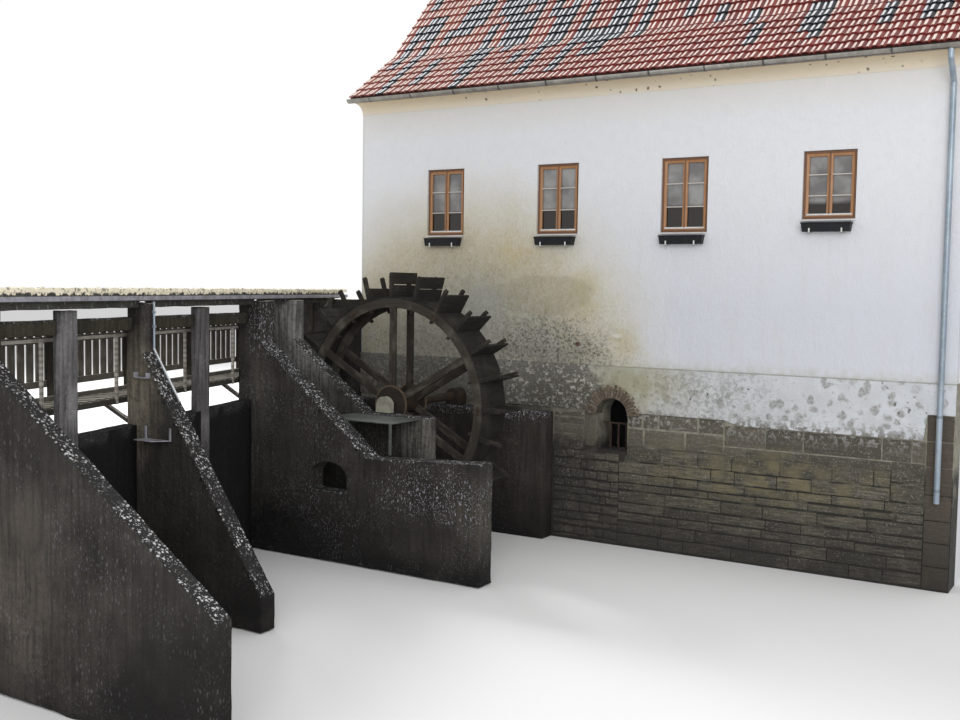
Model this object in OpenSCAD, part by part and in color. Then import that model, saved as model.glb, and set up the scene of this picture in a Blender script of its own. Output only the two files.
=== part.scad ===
// Watermill: a rendered mill house over a stone base, an undershot wheel in a
// concrete race beside it, and the weir with its footbridge upstream.
// Z = 0 is the lowest water line, and Y = 0 runs along the middle of the river wall.

/* [House] */
// Length of the house along the river
house_l = 11400; // [10400:100:12400]
// Depth of the house from river wall to back wall
house_d = 9000; // [8000:100:10000]
// Thickness of the outer walls
wall_t = 600; // [450:10:700]
// Height of the plaster ledge over the stone base
ledge_z = 3240; // [3100:10:3400]
// Height of the exposed stone of the river wall
stone_z = 2420; // [2300:10:2500]
// Drop of the stone's top edge towards its low end
stone_step = 80; // [40:5:120]
// Length of the low part of the stone's top edge
low_edge_l = 3400; // [3200:50:3600]
// Length over which the stone's top edge drops
step_run = 250; // [150:10:400]
// Height of the corner stones at the downstream end
corner_z = 2750; // [2600:10:2900]
// Length of the corner stones
corner_l = 400; // [350:10:500]
// Projection of the ledge past the wall above
ledge_out = 20; // [10:1:35]
// Depth of the stone's face behind the wall's face
stone_in = 15; // [8:1:25]
// Height of the upper floor's surface
floor_z = 4600; // [4400:10:4800]
// Thickness of the upper floor
floor_t = 250; // [200:10:300]

/* [Windows] */
// Width of a window over its frame
win_w = 850; // [750:10:950]
// Height of a window over its frame
win_h = 1280; // [1200:10:1400]
// Height of the short window at the downstream end
win_short_h = 1100; // [1000:10:1180]
// Height of the window heads
win_top_z = 6880; // [6800:10:7000]
// Distance between window centres
win_pitch = 2450; // [2300:10:2500]
// Depth of a window frame
frame_d = 80; // [60:5:100]
// Face width of a window frame
frame_w = 62; // [45:1:75]
// Distance from the wall's face back to the frame
reveal = 45; // [20:5:90]
// Thickness of the glass
glass_t = 6; // [4:1:10]
// Thickness of a window's metal sill
sill_t = 12; // [6:1:20]
// Overhang of a window's metal sill
sill_out = 45; // [30:5:70]
// Height of a sill's turned-down edge
sill_edge = 26; // [16:1:40]
// Sheet thickness of a sill's turned-down edge
sill_fold = 5; // [2:0.5:8]
// Length of a flower box
box_l = 800; // [700:10:840]
// Height of a flower box
box_h = 150; // [120:5:180]
// Depth of a flower box
box_d = 150; // [130:5:180]
// Wall of a flower box
box_wall = 12; // [8:1:18]
// Drop from a window's sill to its flower box
box_drop = 40; // [30:1:60]
// Gap between the wall's face and a flower box
box_gap = 12; // [8:1:30]
// Depth of the soil's surface below a box's rim
soil_drop = 25; // [15:1:50]
// Distance between a flower box's two brackets
peg_pitch = 512; // [400:1:600]
// Side of a flower box's square brackets
peg_s = 25; // [15:1:35]

/* [Arched opening] */
// Clear width of the arched opening in the stone base
arch_w = 610; // [500:10:700]
// Place of the arched opening's middle
arch_x = -35; // [-200:5:200]
// Height of the arch's springing
arch_z = 2350; // [2300:10:2400]
// Height of the opening's sill
arch_sill_z = 1700; // [1600:10:1900]
// Thickness of the brick ring
arch_ring = 165; // [120:5:200]
// Length of the wall's middle part, built round the arched opening
arch_bay = 1500; // [1300:10:1800]
// Depth of the brick ring into the wall
arch_deep = 240; // [200:10:300]
// Side of the square bars in the opening
bar_s = 30; // [20:1:40]
// Drop from the arch's springing to the bars' rail
bar_drop = 190; // [150:10:240]
// Distance of the bars behind the brick ring
bar_in = 60; // [40:5:100]

/* [Roof] */
// Overhang of the eaves beyond the wall
eaves = 380; // [340:10:450]
// Overhang of the roof beyond the gables
verge = 200; // [120:10:300]
// Pitch of the roof in degrees
pitch = 47.7; // [44:0.1:50]
// Pitch of the flared foot of the roof in degrees
flare_pitch = 35.5; // [32:0.1:40]
// Horizontal length of the flared foot
flare_l = 1450; // [1200:10:1700]
// Height of the tiles' lower edge at the eaves
eaves_z = 8350; // [8300:10:8500]
// Thickness of the tiled roof
roof_t = 120; // [100:5:160]
// Width of the ridge tiles
ridge_w = 260; // [220:10:300]
// Projection of the cove under the eaves
cove_out = 260; // [220:10:300]
// Height of the cove's curve
cove_h = 200; // [160:10:240]
// Height of the cove's straight edge above its curve
cove_edge = 45; // [30:5:70]
// Depth of the cove's lower lip
cove_lip = 15; // [10:1:25]
// Outer radius of the gutter
gutter_r = 75; // [60:1:90]
// Drop of the gutter's rim below the tiles' edge
gutter_drop = 55; // [45:1:70]
// Gap between the tiles' edge and the gutter
gutter_gap = 5; // [3:0.5:15]
// Sheet thickness of the gutter and downpipe
sheet_t = 4; // [3:0.5:6]
// Distance between the gutter's straps
strap_pitch = 985; // [700:5:1050]
// Place of the strap nearest the middle
strap_x = -265; // [-400:5:400]
// Width of a gutter strap
strap_w = 30; // [20:1:40]
// Thickness of a gutter strap
strap_t = 5; // [3:0.5:8]
// Height of a gutter strap's lug at the roof's end
lug_h = 25; // [15:1:40]
// Diameter of the downpipe
pipe_dia = 90; // [80:1:110]
// Distance of the downpipe from the house's corner
pipe_in = 210; // [150:10:300]
// Gap between the downpipe and the wall
pipe_gap = 40; // [25:5:60]
// Length of the pipe's upright end at the gutter
spigot_l = 120; // [80:5:160]
// Height of the downpipe's slanted neck
neck_h = 300; // [250:10:400]
// Height of the lowest clip above the plaster ledge
clip_z = 400; // [200:10:600]
// Distance between the downpipe's clips
clip_pitch = 1600; // [1400:10:1800]
// Width of a downpipe clip
clip_w = 24; // [15:1:40]
// Height of the downpipe's foot
pipe_foot_z = 1390; // [1200:10:1600]

/* [Water wheel] */
// Place of the axle along the river wall
axle_x = -3260; // [-3360:10:-3160]
// Height of the axle
axle_z = 2510; // [2500:5:2560]
// Distance of the wheel's middle plane from the river wall's face
wheel_off = 1985; // [1900:10:2000]
// Height of the paddles beyond the rims
paddle_h = 455; // [420:5:500]
// Outer radius of the rims
rim_r = 1880; // [1820:5:1930]
// Radial depth of the rims
rim_h = 165; // [140:5:190]
// Thickness of a rim
rim_t = 70; // [50:5:90]
// Distance between the rims' middle planes
rim_gap = 525; // [480:5:560]
// Number of paddles
paddles = 24; // [20:1:28]
// Length of a paddle board along the axle
paddle_l = 770; // [700:5:790]
// Shift of the paddles towards the river wall
paddle_shift = 60; // [20:5:80]
// Thickness of a paddle board
paddle_t = 32; // [25:1:45]
// Gap between a paddle's two boards
paddle_slit = 14; // [8:1:30]
// Wear of the outer boards on the side that rises last
worn = 85; // [0:5:110]
// Width of a paddle arm along the axle
arm_w = 85; // [60:1:100]
// Thickness of a paddle arm
arm_t = 50; // [35:1:60]
// Thickness of the drum's sole boards
drum_t = 24; // [18:1:32]
// Length of an arm's tenon inside the rim
tenon_l = 55; // [30:5:70]
// Difference in size between an arm and its tenon, all round
tenon_in = 7; // [3:1:12]
// Number of spokes of each rim
spokes = 6; // [4:1:8]
// Width of a spoke in the wheel's plane
spoke_w = 130; // [90:5:140]
// Thickness of a spoke along the axle
spoke_t = 65; // [40:5:70]
// Radius of the hub plates
hub_r = 340; // [300:5:380]
// Thickness of the hub plates
hub_t = 26; // [16:1:40]
// Radius of the barrel between the two sets of spokes
barrel_r = 187; // [150:1:230]
// Radius of the axle
axle_r = 80; // [60:1:95]
// Running clearance of the axle
axle_gap = 0.9; // [0.6:0.1:1.5]
// Radius of the hole for the axle in the river wall
axle_hole_r = 128; // [110:1:160]
// Distance of the axle's end from the river wall's inner face
axle_end = 20; // [10:5:100]

/* [Race walls] */
// Front face of the outer race wall, from the river wall's face
outer_off = 3940; // [3840:10:4040]
// Thickness of the outer race wall
outer_t = 400; // [350:10:440]
// Height of the outer race wall at its low end
outer_low_z = 1830; // [1700:10:1900]
// Height of the outer race wall at its free end
outer_end_z = 1930; // [1900:10:2000]
// Place of the outer race wall's free end
outer_end_x = -360; // [-500:5:0]
// Place of the foot of the outer wall's slope
outer_elbow_x = -2530; // [-2700:10:-2400]
// Width of the culvert through the outer wall
culvert_w = 740; // [600:10:800]
// Height of the culvert's sides
culvert_h = 290; // [200:10:320]
// Rise of the culvert's arched top
culvert_rise = 160; // [120:10:200]
// Height of the culvert's floor
culvert_z = 1210; // [1100:10:1300]
// Place of the culvert's middle
culvert_x = -3350; // [-3500:10:-3200]
// Front face of the bearing pier, from the river wall's face
pier_off = 2700; // [2690:5:2750]
// Thickness of the bearing pier
pier_t = 295; // [250:5:300]
// Height of the bearing pier's level top
pier_z = 2385; // [2360:5:2400]
// Place of the bearing pier's free end
pier_end_x = -2195; // [-2300:5:-1900]
// Length of the outer bearing's housing
cap_l = 110; // [90:5:140]
// Distance of the outer bearing back from the pier's edge
cap_in = 15; // [5:5:40]
// Thickness of the outer bearing's closed end
cap_end = 30; // [15:5:50]
// Wall of a bearing's housing round the axle
housing_wall = 75; // [50:5:90]
// Length of the inner bearing's housing
wall_cap_l = 250; // [150:10:280]
// Length of the pier's level top upstream of the axle
pier_flat = 270; // [240:10:350]
// Place of the sheet platform's upstream end
shelf_x = -3750; // [-3850:10:-3600]
// Length of the sheet platform
shelf_l = 1420; // [1300:10:1450]
// Drop from the pier's top to the platform's sheet
shelf_drop = 25; // [15:5:60]
// Thickness of the platform's sheet
shelf_t = 18; // [8:1:25]
// Side of the platform's slim post
leg_s = 35; // [25:1:50]
// Thickness of the inner race wall
inner_t = 350; // [300:10:400]
// Height of the inner race wall
inner_z = 2350; // [2300:5:2400]
// Place of the inner race wall's free end
inner_end_x = -1210; // [-1400:10:-1000]

/* [Weir] */
// Angle of the weir from square to the river wall in degrees
skew = 18; // [12:0.5:22]
// Distance between the weir's piers and posts
bay = 1780; // [1600:10:1900]
// Depth of a buttress's upright
upright_d = 550; // [500:10:650]
// Depth of the bearing pier's upright
pier_upright_d = 950; // [900:10:1100]
// Height of the piers under the footbridge
pier_top_z = 4330; // [4250:10:4400]
// Height at which the buttress slopes begin
slope_z = 3610; // [3500:10:3700]
// Height of the middle buttress's toe
mid_toe_z = 500; // [300:10:700]
// Slope of the middle buttress in degrees
mid_slope = 54.4; // [50:0.1:60]
// Height at which the middle buttress's slope begins
mid_slope_z = 3645; // [3550:5:3700]
// Place of the middle buttress's arris
mid_x = -3800; // [-3850:5:-3700]
// Distance of the middle buttress's near face from the outer race wall's
mid_off = 3532; // [3450:2:3600]
// Thickness of the middle buttress
mid_t = 305; // [280:5:340]
// Depth of the middle buttress's upright
mid_d = 330; // [300:10:400]
// Height at which the bank buttress's slope begins
bank_slope_z = 3710; // [3600:10:3800]
// Slope of the bank buttress in degrees
bank_slope = 33.5; // [30:0.5:36]
// Length of the bank buttress's slope, measured level
bank_run = 3500; // [3200:50:3700]
// Thickness of the bank buttress
bank_t = 250; // [220:10:300]
// Width of the posts between the buttresses
post_w = 280; // [250:5:340]
// Depth of the posts between the buttresses
post_d = 160; // [120:5:200]
// Shift of the posts along the weir
post_shift = 190; // [150:5:230]
// Height of the weir's crest
crest_z = 2610; // [2500:10:2700]
// Thickness of the weir wall
weir_t = 250; // [200:10:280]
// Distance of the weir wall behind the buttresses' arris
weir_in = 180; // [140:10:220]
// Thickness of the footbridge slab
deck_t = 150; // [120:5:180]
// Width of the footbridge slab
deck_w = 1150; // [1000:10:1250]
// Distance of the slab's edge behind the buttresses' arris
deck_in = 60; // [30:5:100]
// Length of the slab past the bank buttress
deck_end = 250; // [150:10:400]
// Bearing of the slab on the abutment
deck_seat = 200; // [150:10:300]
// Distance of the beams behind the buttresses' arris
beam_in = 120; // [90:5:150]
// Height of the block under the slab at the head of the race
block_h = 380; // [300:10:450]
// Depth of that block across the bridge
block_d = 210; // [180:10:260]
// Length of that block along the bridge
block_l = 250; // [200:10:300]
// Distance of that block from the inner race wall
block_off = 235; // [180:5:300]
// Depth of the beam under the slab
beam_h = 90; // [70:5:130]
// Height of the guide beam's top
guide_z = 4120; // [4050:10:4150]
// Depth of the guide beam
guide_h = 200; // [180:5:250]
// Distance of the guide beam behind the buttresses' arris
guide_in = 250; // [200:10:280]
// Thickness of the beams
beam_t = 160; // [120:5:200]
// Height of the service walkway
walk_z = 2960; // [2900:10:3050]
// Thickness of the service walkway's bearers
bearer_h = 80; // [60:5:100]
// Width of the service walkway's bearers
bearer_w = 60; // [40:5:90]
// Distance between the walkway's slats
slat_pitch = 210; // [160:5:250]
// Width of a walkway slat
slat_w = 120; // [80:5:140]
// Thickness of a walkway slat
slat_t = 25; // [18:1:40]
// Length of the walkway past the outer race wall's near face
walk_over = 1450; // [1350:10:1460]
// Height of the kerb along the walkway's upstream side
kerb_h = 80; // [50:5:100]
// Length of the walkway's braces, measured level
brace_run = 540; // [450:10:600]
// Extra length of the middle buttress's brace
mid_reach = 100; // [80:5:120]
// Height of the walkway's braces
brace_h = 270; // [220:10:320]
// Height of the handrail's top
hand_z = 3870; // [3800:10:3950]
// Side of the handrail and of its posts
hand_s = 40; // [30:1:50]
// Places of the handrail's posts along the weir
hand_posts = [-45, -1720, -3685, -5400, -6800]; // [-6820:5:0]
// Length of the handrail past its first post
hand_over = 185; // [100:5:190]
// Height of the paling's lower edge
paling_z = 3150; // [3100:10:3200]
// Height of the paling beside the walkway
paling_h = 800; // [700:10:850]
// Side of the paling's rails, seen from above
rail_t = 40; // [30:1:60]
// Height of the paling's rails
rail_h = 90; // [60:5:110]
// Distance of the upper rail from the pales' top
rail_in = 200; // [150:5:250]
// Thickness of a pale
pale_t = 20; // [15:1:30]
// Side of the paling's posts on the upstream side
slim_s = 100; // [80:5:120]
// Distance between the paling's posts
slim_pitch = 1925; // [1850:5:1980]
// Height of the paling's posts
slim_z = 4000; // [3950:10:4050]
// Distance of the paling's posts in from the slab's upstream edge
slim_in = 40; // [20:5:80]
// Shift of the paling's posts along the weir
slim_shift = 1465; // [1400:5:1500]
// Height of the sluice gate's sill
sill_z = 1100; // [900:10:1200]
// Height of the sluice gate's top
gate_z = 3380; // [3200:10:3500]
// Thickness of the sluice gate's boards
gate_t = 50; // [40:1:70]
// Distance of the gate behind the buttresses' arris
gate_in = 430; // [400:10:500]
// Gap between the gate's top and the rail above it
gate_gap = 200; // [150:10:250]
// Height of the rail above the gate
gate_rail_h = 80; // [60:5:100]
// Width of a gate post along the weir
gate_post_w = 120; // [80:5:150]
// Depth of a gate post across the weir
gate_post_d = 90; // [70:5:120]
// Distance of the first gate post from the bearing pier
gate_post_in = 323; // [280:1:400]
// Distance between the two gate posts
gate_post_pitch = 1120; // [1000:10:1250]
// Diameter of the steel rod down the middle buttress's far edge
rod_dia = 32; // [20:1:40]
// Height of that rod's lower end
rod_z = 2930; // [2700:10:3200]
// Distance of that rod from the buttress's far arris
rod_in = 85; // [60:5:120]
// Length of the abutment at the house's corner
abut_l = 1350; // [1250:10:1500]
// Depth of the abutment across the river wall's line
abut_d = 750; // [700:10:900]
// Width of a pale
pale_w = 135; // [110:5:160]
// Gap between pales
pale_gap = 60; // [40:5:80]

/* [Hidden] */
// Clearance between pieces that touch
seat = 0.3;
// Clearance of square pieces against the rims' round inner faces
rim_seat = 0.5;
// Length by which a cut runs past the face that it opens
over = 10;
// Gap between the steel rod and the buttress's face
rod_gap = 6;
// Thickness of the clips and of the bend round the steel rod
rod_clip = 4;
// Slant of the render's edge beside the corner stones
corner_run = 50;
// Turn of the first spoke and the first paddle from level
first_spoke = 30;
first_paddle = 90.5;
face_y = -wall_t / 2;
back_y = face_y + house_d;
half_l = house_l / 2;
ridge_y = (face_y + back_y) / 2;
win_centres = [-1.5, -0.5, 0.5, 1.5];
knee_y = face_y - eaves + flare_l;
knee_z = eaves_z + flare_l * tan(flare_pitch);
ridge_z = knee_z + (ridge_y - knee_y) * tan(pitch);
eaves_y = face_y - eaves;
flare_drop = roof_t / cos(flare_pitch);
roof_drop = roof_t / cos(pitch);
under_knee_y = knee_y + (roof_drop - flare_drop) / (tan(pitch) - tan(flare_pitch));
gutter_z = eaves_z - gutter_drop;
gutter_y = eaves_y + gutter_drop * tan(flare_pitch) - gutter_r
           - gutter_gap - seat;
roof_l = house_l + 2 * verge;
paddle_r = rim_r + paddle_h;
wheel_y = face_y - wheel_off;
rim_y = rim_gap / 2;
paddle_foot = rim_r + drum_t + 2 * seat;
board_h = (paddle_r - paddle_foot - paddle_slit) / 2;
bare_paddles = [7, 22, 23];
worn_paddles = [2, 3, 4, 5, 6];
outer_y = face_y - outer_off;
pier_y = face_y - pier_off;
inner_y = face_y - inner_t;
arris_x = -4830;
mid_y = outer_y - mid_off;
pier_arris_x = -5160;
rear_x = slim_in - deck_w - deck_in;
walk_front = -upright_d * cos(skew) - seat;
big = 20000;

// A profile in Y and Z, drawn along X between two ends
module along_x(x0, x1) {
    translate([x0, 0, 0])
        rotate([90, 0, 90])
            linear_extrude(height = x1 - x0)
                children();
}

// A profile in X and Z, drawn along Y between two faces
module along_y(y0, y1) {
    translate([0, y1, 0])
        rotate([90, 0, 0])
            linear_extrude(height = y1 - y0)
                children();
}

// Places a piece in the weir's own axes: X downstream, Y along the weir
module at_weir() {
    translate([arris_x, outer_y, 0])
        rotate([0, 0, skew])
            children();
}

// Height of the roof's top surface over a given Y of the river side
function roof_top(y) =
    max(eaves_z + (y - eaves_y) * tan(flare_pitch),
        knee_z + (y - knee_y) * tan(pitch));

// Height of the roof's underside over a given Y of the river side
function roof_under(y) =
    max(eaves_z + (y - eaves_y) * tan(flare_pitch) - flare_drop,
        knee_z + (y - knee_y) * tan(pitch) - roof_drop);

// Height of a window's sill; the last one on the river side is short
function win_bottom(i, short) =
    win_top_z - ((short && i == 3) ? win_short_h : win_h);

// Places a piece at each window of one long wall, seen from outside
module at_windows(y, turn, short) {
    for (i = [0:3])
        translate([0, y, 0])
            rotate([0, 0, turn])
                translate([win_centres[i] * win_pitch, 0, win_bottom(i, short)])
                    children(short && i == 3 ? 1 : 0);
}

// The openings of one window row, cut through the wall
module window_row(y, turn, short) {
    at_windows(y, turn, short) {
        window_hole(win_h);
        window_hole(win_short_h);
    }
}

module window_hole(h) {
    translate([-win_w / 2, -1, 0])
        cube([win_w, wall_t + 2, h]);
}

module wall_front_profile() {
    polygon([
        [face_y, ledge_z],
        [face_y + wall_t, ledge_z],
        [face_y + wall_t, roof_under(face_y + wall_t) - seat],
        [face_y, roof_under(face_y) - seat]
    ]);
}

module arch_profile(r) {
    translate([arch_x, arch_z])
        circle(r = r, $fn = 64);
}

// Vertical joints on both sides of the wall's middle part
module arch_bay_joints() {
    for (side = [-1, 1])
        translate([arch_x + side * arch_bay / 2, face_y - over, -over])
            cube([seat, wall_t + 2 * over, ledge_z + 2 * over]);
}

// The river wall's stone base in three lengths, with the arched opening
module stone_base() {
    color([0.42, 0.38, 0.32])
    difference() {
        translate([-half_l, face_y + stone_in, 0])
            cube([house_l, wall_t - stone_in, ledge_z]);
        along_y(face_y - over, face_y + wall_t + over)
            union() {
                arch_profile(arch_w / 2);
                translate([arch_x - arch_w / 2, arch_sill_z])
                    square([arch_w, arch_z - arch_sill_z]);
            }
        along_y(face_y - over, face_y + stone_in + arch_deep)
            intersection() {
                arch_profile(arch_w / 2 + arch_ring);
                translate([arch_x - arch_w, arch_z])
                    square([2 * arch_w, 2 * arch_w]);
            }
        axle_hole();
        arch_bay_joints();
    }
}

// Clearance hole for the axle through the river wall
module axle_hole() {
    translate([axle_x, 0, axle_z])
        rotate([90, 0, 0])
            cylinder(r = axle_hole_r, h = 3 * wall_t, center = true, $fn = 48);
}

// The render over the base, down to the exposed stone
module base_render() {
    color([0.78, 0.77, 0.72])
    difference() {
        along_y(face_y - ledge_out, face_y + stone_in - seat)
            difference() {
                polygon([
                    [-half_l, ledge_z - seat],
                    [-half_l, stone_z],
                    [half_l - low_edge_l - step_run, stone_z],
                    [half_l - low_edge_l, stone_z - stone_step],
                    [half_l - corner_l - corner_run, stone_z - stone_step],
                    [half_l - corner_l, corner_z],
                    [half_l, corner_z],
                    [half_l, ledge_z - seat]
                ]);
                arch_profile(arch_w / 2 + arch_ring + seat);
            }
        axle_hole();
    }
}

// The rendered river wall with its window row
module front_wall() {
    color([0.9, 0.89, 0.85])
    difference() {
        along_x(-half_l, half_l)
            wall_front_profile();
        window_row(face_y, 0, true);
    }
}

// The back wall repeats the window row
module back_wall() {
    color([0.9, 0.89, 0.85])
    difference() {
        along_x(-half_l, half_l)
            translate([2 * ridge_y, 0])
                mirror([1, 0])
                    polygon([
                        [face_y, 0],
                        [face_y + wall_t, 0],
                        [face_y + wall_t, roof_under(face_y + wall_t) - seat],
                        [face_y, roof_under(face_y) - seat]
                    ]);
        window_row(back_y, 180, false);
    }
}

// A gable wall between the two long walls
module gable(x0) {
    y0 = face_y + wall_t;
    y1 = back_y - wall_t;
    along_x(x0, x0 + wall_t)
        polygon([
            [y0, 0],
            [y1, 0],
            [y1, roof_under(y0) - seat],
            [2 * ridge_y - under_knee_y, roof_under(under_knee_y) - seat],
            [ridge_y, roof_under(ridge_y) - seat],
            [under_knee_y, roof_under(under_knee_y) - seat],
            [y0, roof_under(y0) - seat]
        ]);
}

module gable_windows(x, turn) {
    for (side = [-1, 1])
        translate([x, ridge_y, 0])
            rotate([0, 0, turn])
                translate([side * win_pitch * 0.75, 0, win_top_z - win_h])
                    children();
}

module upstream_gable() {
    color([0.9, 0.89, 0.85])
    difference() {
        gable(-half_l);
        gable_windows(-half_l, -90)
            window_hole(win_h);
    }
}

module downstream_gable() {
    color([0.9, 0.89, 0.85])
    difference() {
        gable(half_l - wall_t);
        gable_windows(half_l, 90)
            window_hole(win_h);
    }
}

module upper_floor() {
    color([0.5, 0.4, 0.28])
    translate([-half_l + wall_t + seat, face_y + wall_t + seat, floor_z - floor_t])
        cube([house_l - 2 * wall_t - 2 * seat,
              house_d - 2 * wall_t - 2 * seat, floor_t]);
}

// Concave plaster cove between the wall and the eaves
module cove_profile() {
    foot_y = face_y - seat;
    foot_z = roof_under(foot_y - cove_out) - cove_edge - cove_h;
    polygon(concat(
        [[foot_y, foot_z], [foot_y - cove_lip, foot_z]],
        [for (a = [0:15:90])
            [foot_y - cove_lip - (cove_out - cove_lip) * (1 - cos(a)),
             foot_z + cove_lip + (cove_h - cove_lip) * sin(a)]],
        [[foot_y - cove_out, roof_under(foot_y - cove_out) - seat],
         [foot_y, roof_under(foot_y) - seat]]
    ));
}

module eaves_coves() {
    color([0.9, 0.87, 0.77])
    along_x(-half_l, half_l)
        union() {
            cove_profile();
            translate([2 * ridge_y, 0])
                mirror([1, 0])
                    cove_profile();
        }
}

// Section of one side of the tiled roof, flared at its foot
module roof_profile() {
    polygon([
        [eaves_y, eaves_z],
        [knee_y, knee_z],
        [ridge_y - seat, roof_top(ridge_y - seat)],
        [ridge_y - seat, roof_under(ridge_y - seat)],
        [under_knee_y, roof_under(under_knee_y)],
        [eaves_y + roof_t * sin(flare_pitch), eaves_z - roof_t * cos(flare_pitch)]
    ]);
}

module river_roof() {
    color([0.55, 0.2, 0.14])
    along_x(-roof_l / 2, roof_l / 2)
        roof_profile();
}

module back_roof() {
    color([0.55, 0.2, 0.14])
    along_x(-roof_l / 2, roof_l / 2)
        translate([2 * ridge_y, 0])
            mirror([1, 0])
                roof_profile();
}

// Ridge tiles lie over the top of both slopes
module ridge_tiles() {
    color([0.5, 0.18, 0.13])
    along_x(-roof_l / 2, roof_l / 2)
        difference() {
            translate([ridge_y, ridge_z - ridge_w * 0.25])
                circle(d = ridge_w, $fn = 48);
            polygon([
                [ridge_y - ridge_w, ridge_z + seat - ridge_w * tan(pitch)],
                [ridge_y, ridge_z + seat],
                [ridge_y + ridge_w, ridge_z + seat - ridge_w * tan(pitch)],
                [ridge_y + ridge_w, ridge_z - 2 * ridge_w],
                [ridge_y - ridge_w, ridge_z - 2 * ridge_w]
            ]);
        }
}

// Lower half of a disc about the gutter's middle line
module half_disc(r) {
    translate([gutter_y, gutter_z])
        difference() {
            circle(r = r, $fn = 48);
            translate([-2 * gutter_r, 0])
                square([4 * gutter_r, 2 * gutter_r]);
        }
}

// The half-round gutter with its end caps and its outlet hole
module gutter() {
    difference() {
        union() {
            along_x(-roof_l / 2, roof_l / 2)
                difference() {
                    half_disc(gutter_r);
                    half_disc(gutter_r - sheet_t);
                }
            for (x = [-roof_l / 2, roof_l / 2 - sheet_t])
                along_x(x, x + sheet_t)
                    half_disc(gutter_r);
        }
        translate([half_l - pipe_in, gutter_y, gutter_z - gutter_r - over])
            cylinder(d = pipe_dia - 2 * sheet_t, h = gutter_r, $fn = 32);
    }
}

// Puts a piece of the river side's eaves on the back side as well
module both_eaves() {
    children();
    translate([0, 2 * ridge_y, 0])
        rotate([0, 0, 180])
            children();
}

module gutters() {
    color([0.62, 0.65, 0.68])
    both_eaves()
        gutter();
}

// One strap under the gutter, fixed to the end of the roof
module strap(x) {
    lug_y = eaves_y + gutter_drop * tan(flare_pitch) - seat;
    root_y = gutter_y + gutter_r - 2 * strap_t;
    along_x(x - strap_w / 2, x + strap_w / 2)
        difference() {
            union() {
                half_disc(gutter_r + seat + strap_t);
                polygon([
                    [root_y, gutter_z],
                    [lug_y, gutter_z],
                    [lug_y + lug_h * tan(flare_pitch), gutter_z - lug_h],
                    [root_y, gutter_z - lug_h]
                ]);
            }
            half_disc(gutter_r + seat);
        }
}

module gutter_brackets() {
    count = floor((half_l - pipe_in - pipe_dia - abs(strap_x)) / strap_pitch);
    color([0.6, 0.63, 0.66])
    both_eaves()
        for (i = [-count:count])
            strap(strap_x + i * strap_pitch);
}

// One straight length of round pipe between two points of the X plane
module pipe_run(p, q) {
    dy = q[0] - p[0];
    dz = q[1] - p[1];
    translate([0, p[0], p[1]])
        rotate([-atan2(dy, dz), 0, 0])
            cylinder(d = pipe_dia, h = norm([dy, dz]), $fn = 32);
    translate([0, p[0], p[1]])
        sphere(d = pipe_dia, $fn = 32);
}

// Swan neck and downpipe with its clips
module downpipe() {
    x = half_l - pipe_in;
    wall_y = face_y - pipe_dia / 2 - pipe_gap;
    top_z = gutter_z - gutter_r - seat;
    bend_z = top_z - spigot_l;
    color([0.62, 0.66, 0.7])
    union() {
        translate([x, 0, 0]) {
            translate([0, gutter_y, bend_z])
                cylinder(d = pipe_dia, h = spigot_l, $fn = 32);
            pipe_run([gutter_y, bend_z], [wall_y, bend_z - neck_h]);
            pipe_run([wall_y, bend_z - neck_h], [wall_y, pipe_foot_z]);
        }
        for (k = [0:2])
            translate([x - clip_w / 2, wall_y, ledge_z + clip_z + k * clip_pitch])
                cube([clip_w, face_y - wall_y - seat, clip_w]);
    }
}

// One window: frame with a middle post between two casements
module window_frame(h) {
    translate([0, reveal, 0])
    difference() {
        translate([-win_w / 2 + seat, 0, seat])
            cube([win_w - 2 * seat, frame_d, h - 2 * seat]);
        for (side = [-1, 1])
            translate([side * (win_w / 4 - frame_w / 4) - casement_w() / 2,
                       -1, frame_w])
                cube([casement_w(), frame_d + 2, h - 2 * frame_w]);
    }
}

function casement_w() = (win_w - 3 * frame_w) / 2;

// The two panes of one window, held in the middle of the frame
module window_pane(h) {
    for (side = [-1, 1])
        translate([side * (win_w / 4 - frame_w / 4) - casement_w() / 2 + seat,
                   reveal + frame_d / 2 - glass_t / 2, frame_w + seat])
            cube([casement_w() - 2 * seat, glass_t, h - 2 * frame_w - 2 * seat]);
}

module window_sill() {
    translate([-win_w / 2, -sill_out, -sill_t])
        cube([win_w, sill_out - seat, sill_t]);
    translate([-win_w / 2, -sill_out, -sill_edge])
        cube([win_w, sill_fold, sill_edge]);
}

module every_window() {
    at_windows(face_y, 0, true) {
        children(0);
        children(1);
    }
    at_windows(back_y, 180, false) {
        children(0);
        children(1);
    }
    gable_windows(-half_l, -90)
        children(0);
    gable_windows(half_l, 90)
        children(0);
}

module window_frames() {
    color([0.62, 0.36, 0.15])
    every_window() {
        window_frame(win_h);
        window_frame(win_short_h);
    }
}

module window_glass() {
    color([0.35, 0.42, 0.48])
    every_window() {
        window_pane(win_h);
        window_pane(win_short_h);
    }
}

module window_sills() {
    color([0.8, 0.8, 0.78])
    every_window() {
        window_sill();
        window_sill();
    }
}

// A trough filled with soil to just under its rim, on two brackets
module flower_box() {
    top = -sill_t - box_drop;
    translate([-box_l / 2, -box_d - box_gap, top - box_h])
        difference() {
            cube([box_l, box_d, box_h]);
            translate([box_wall, box_wall, box_h - soil_drop])
                cube([box_l - 2 * box_wall, box_d - 2 * box_wall, soil_drop + over]);
        }
    for (side = [-1, 1])
        translate([(side * peg_pitch - peg_s) / 2, -box_d - box_gap,
                   top - box_h - peg_s])
            cube([peg_s, box_d + box_gap - seat, peg_s]);
}

module flower_boxes() {
    color([0.1, 0.1, 0.11])
    at_windows(face_y, 0, true) {
        flower_box();
        flower_box();
    }
}

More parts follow.
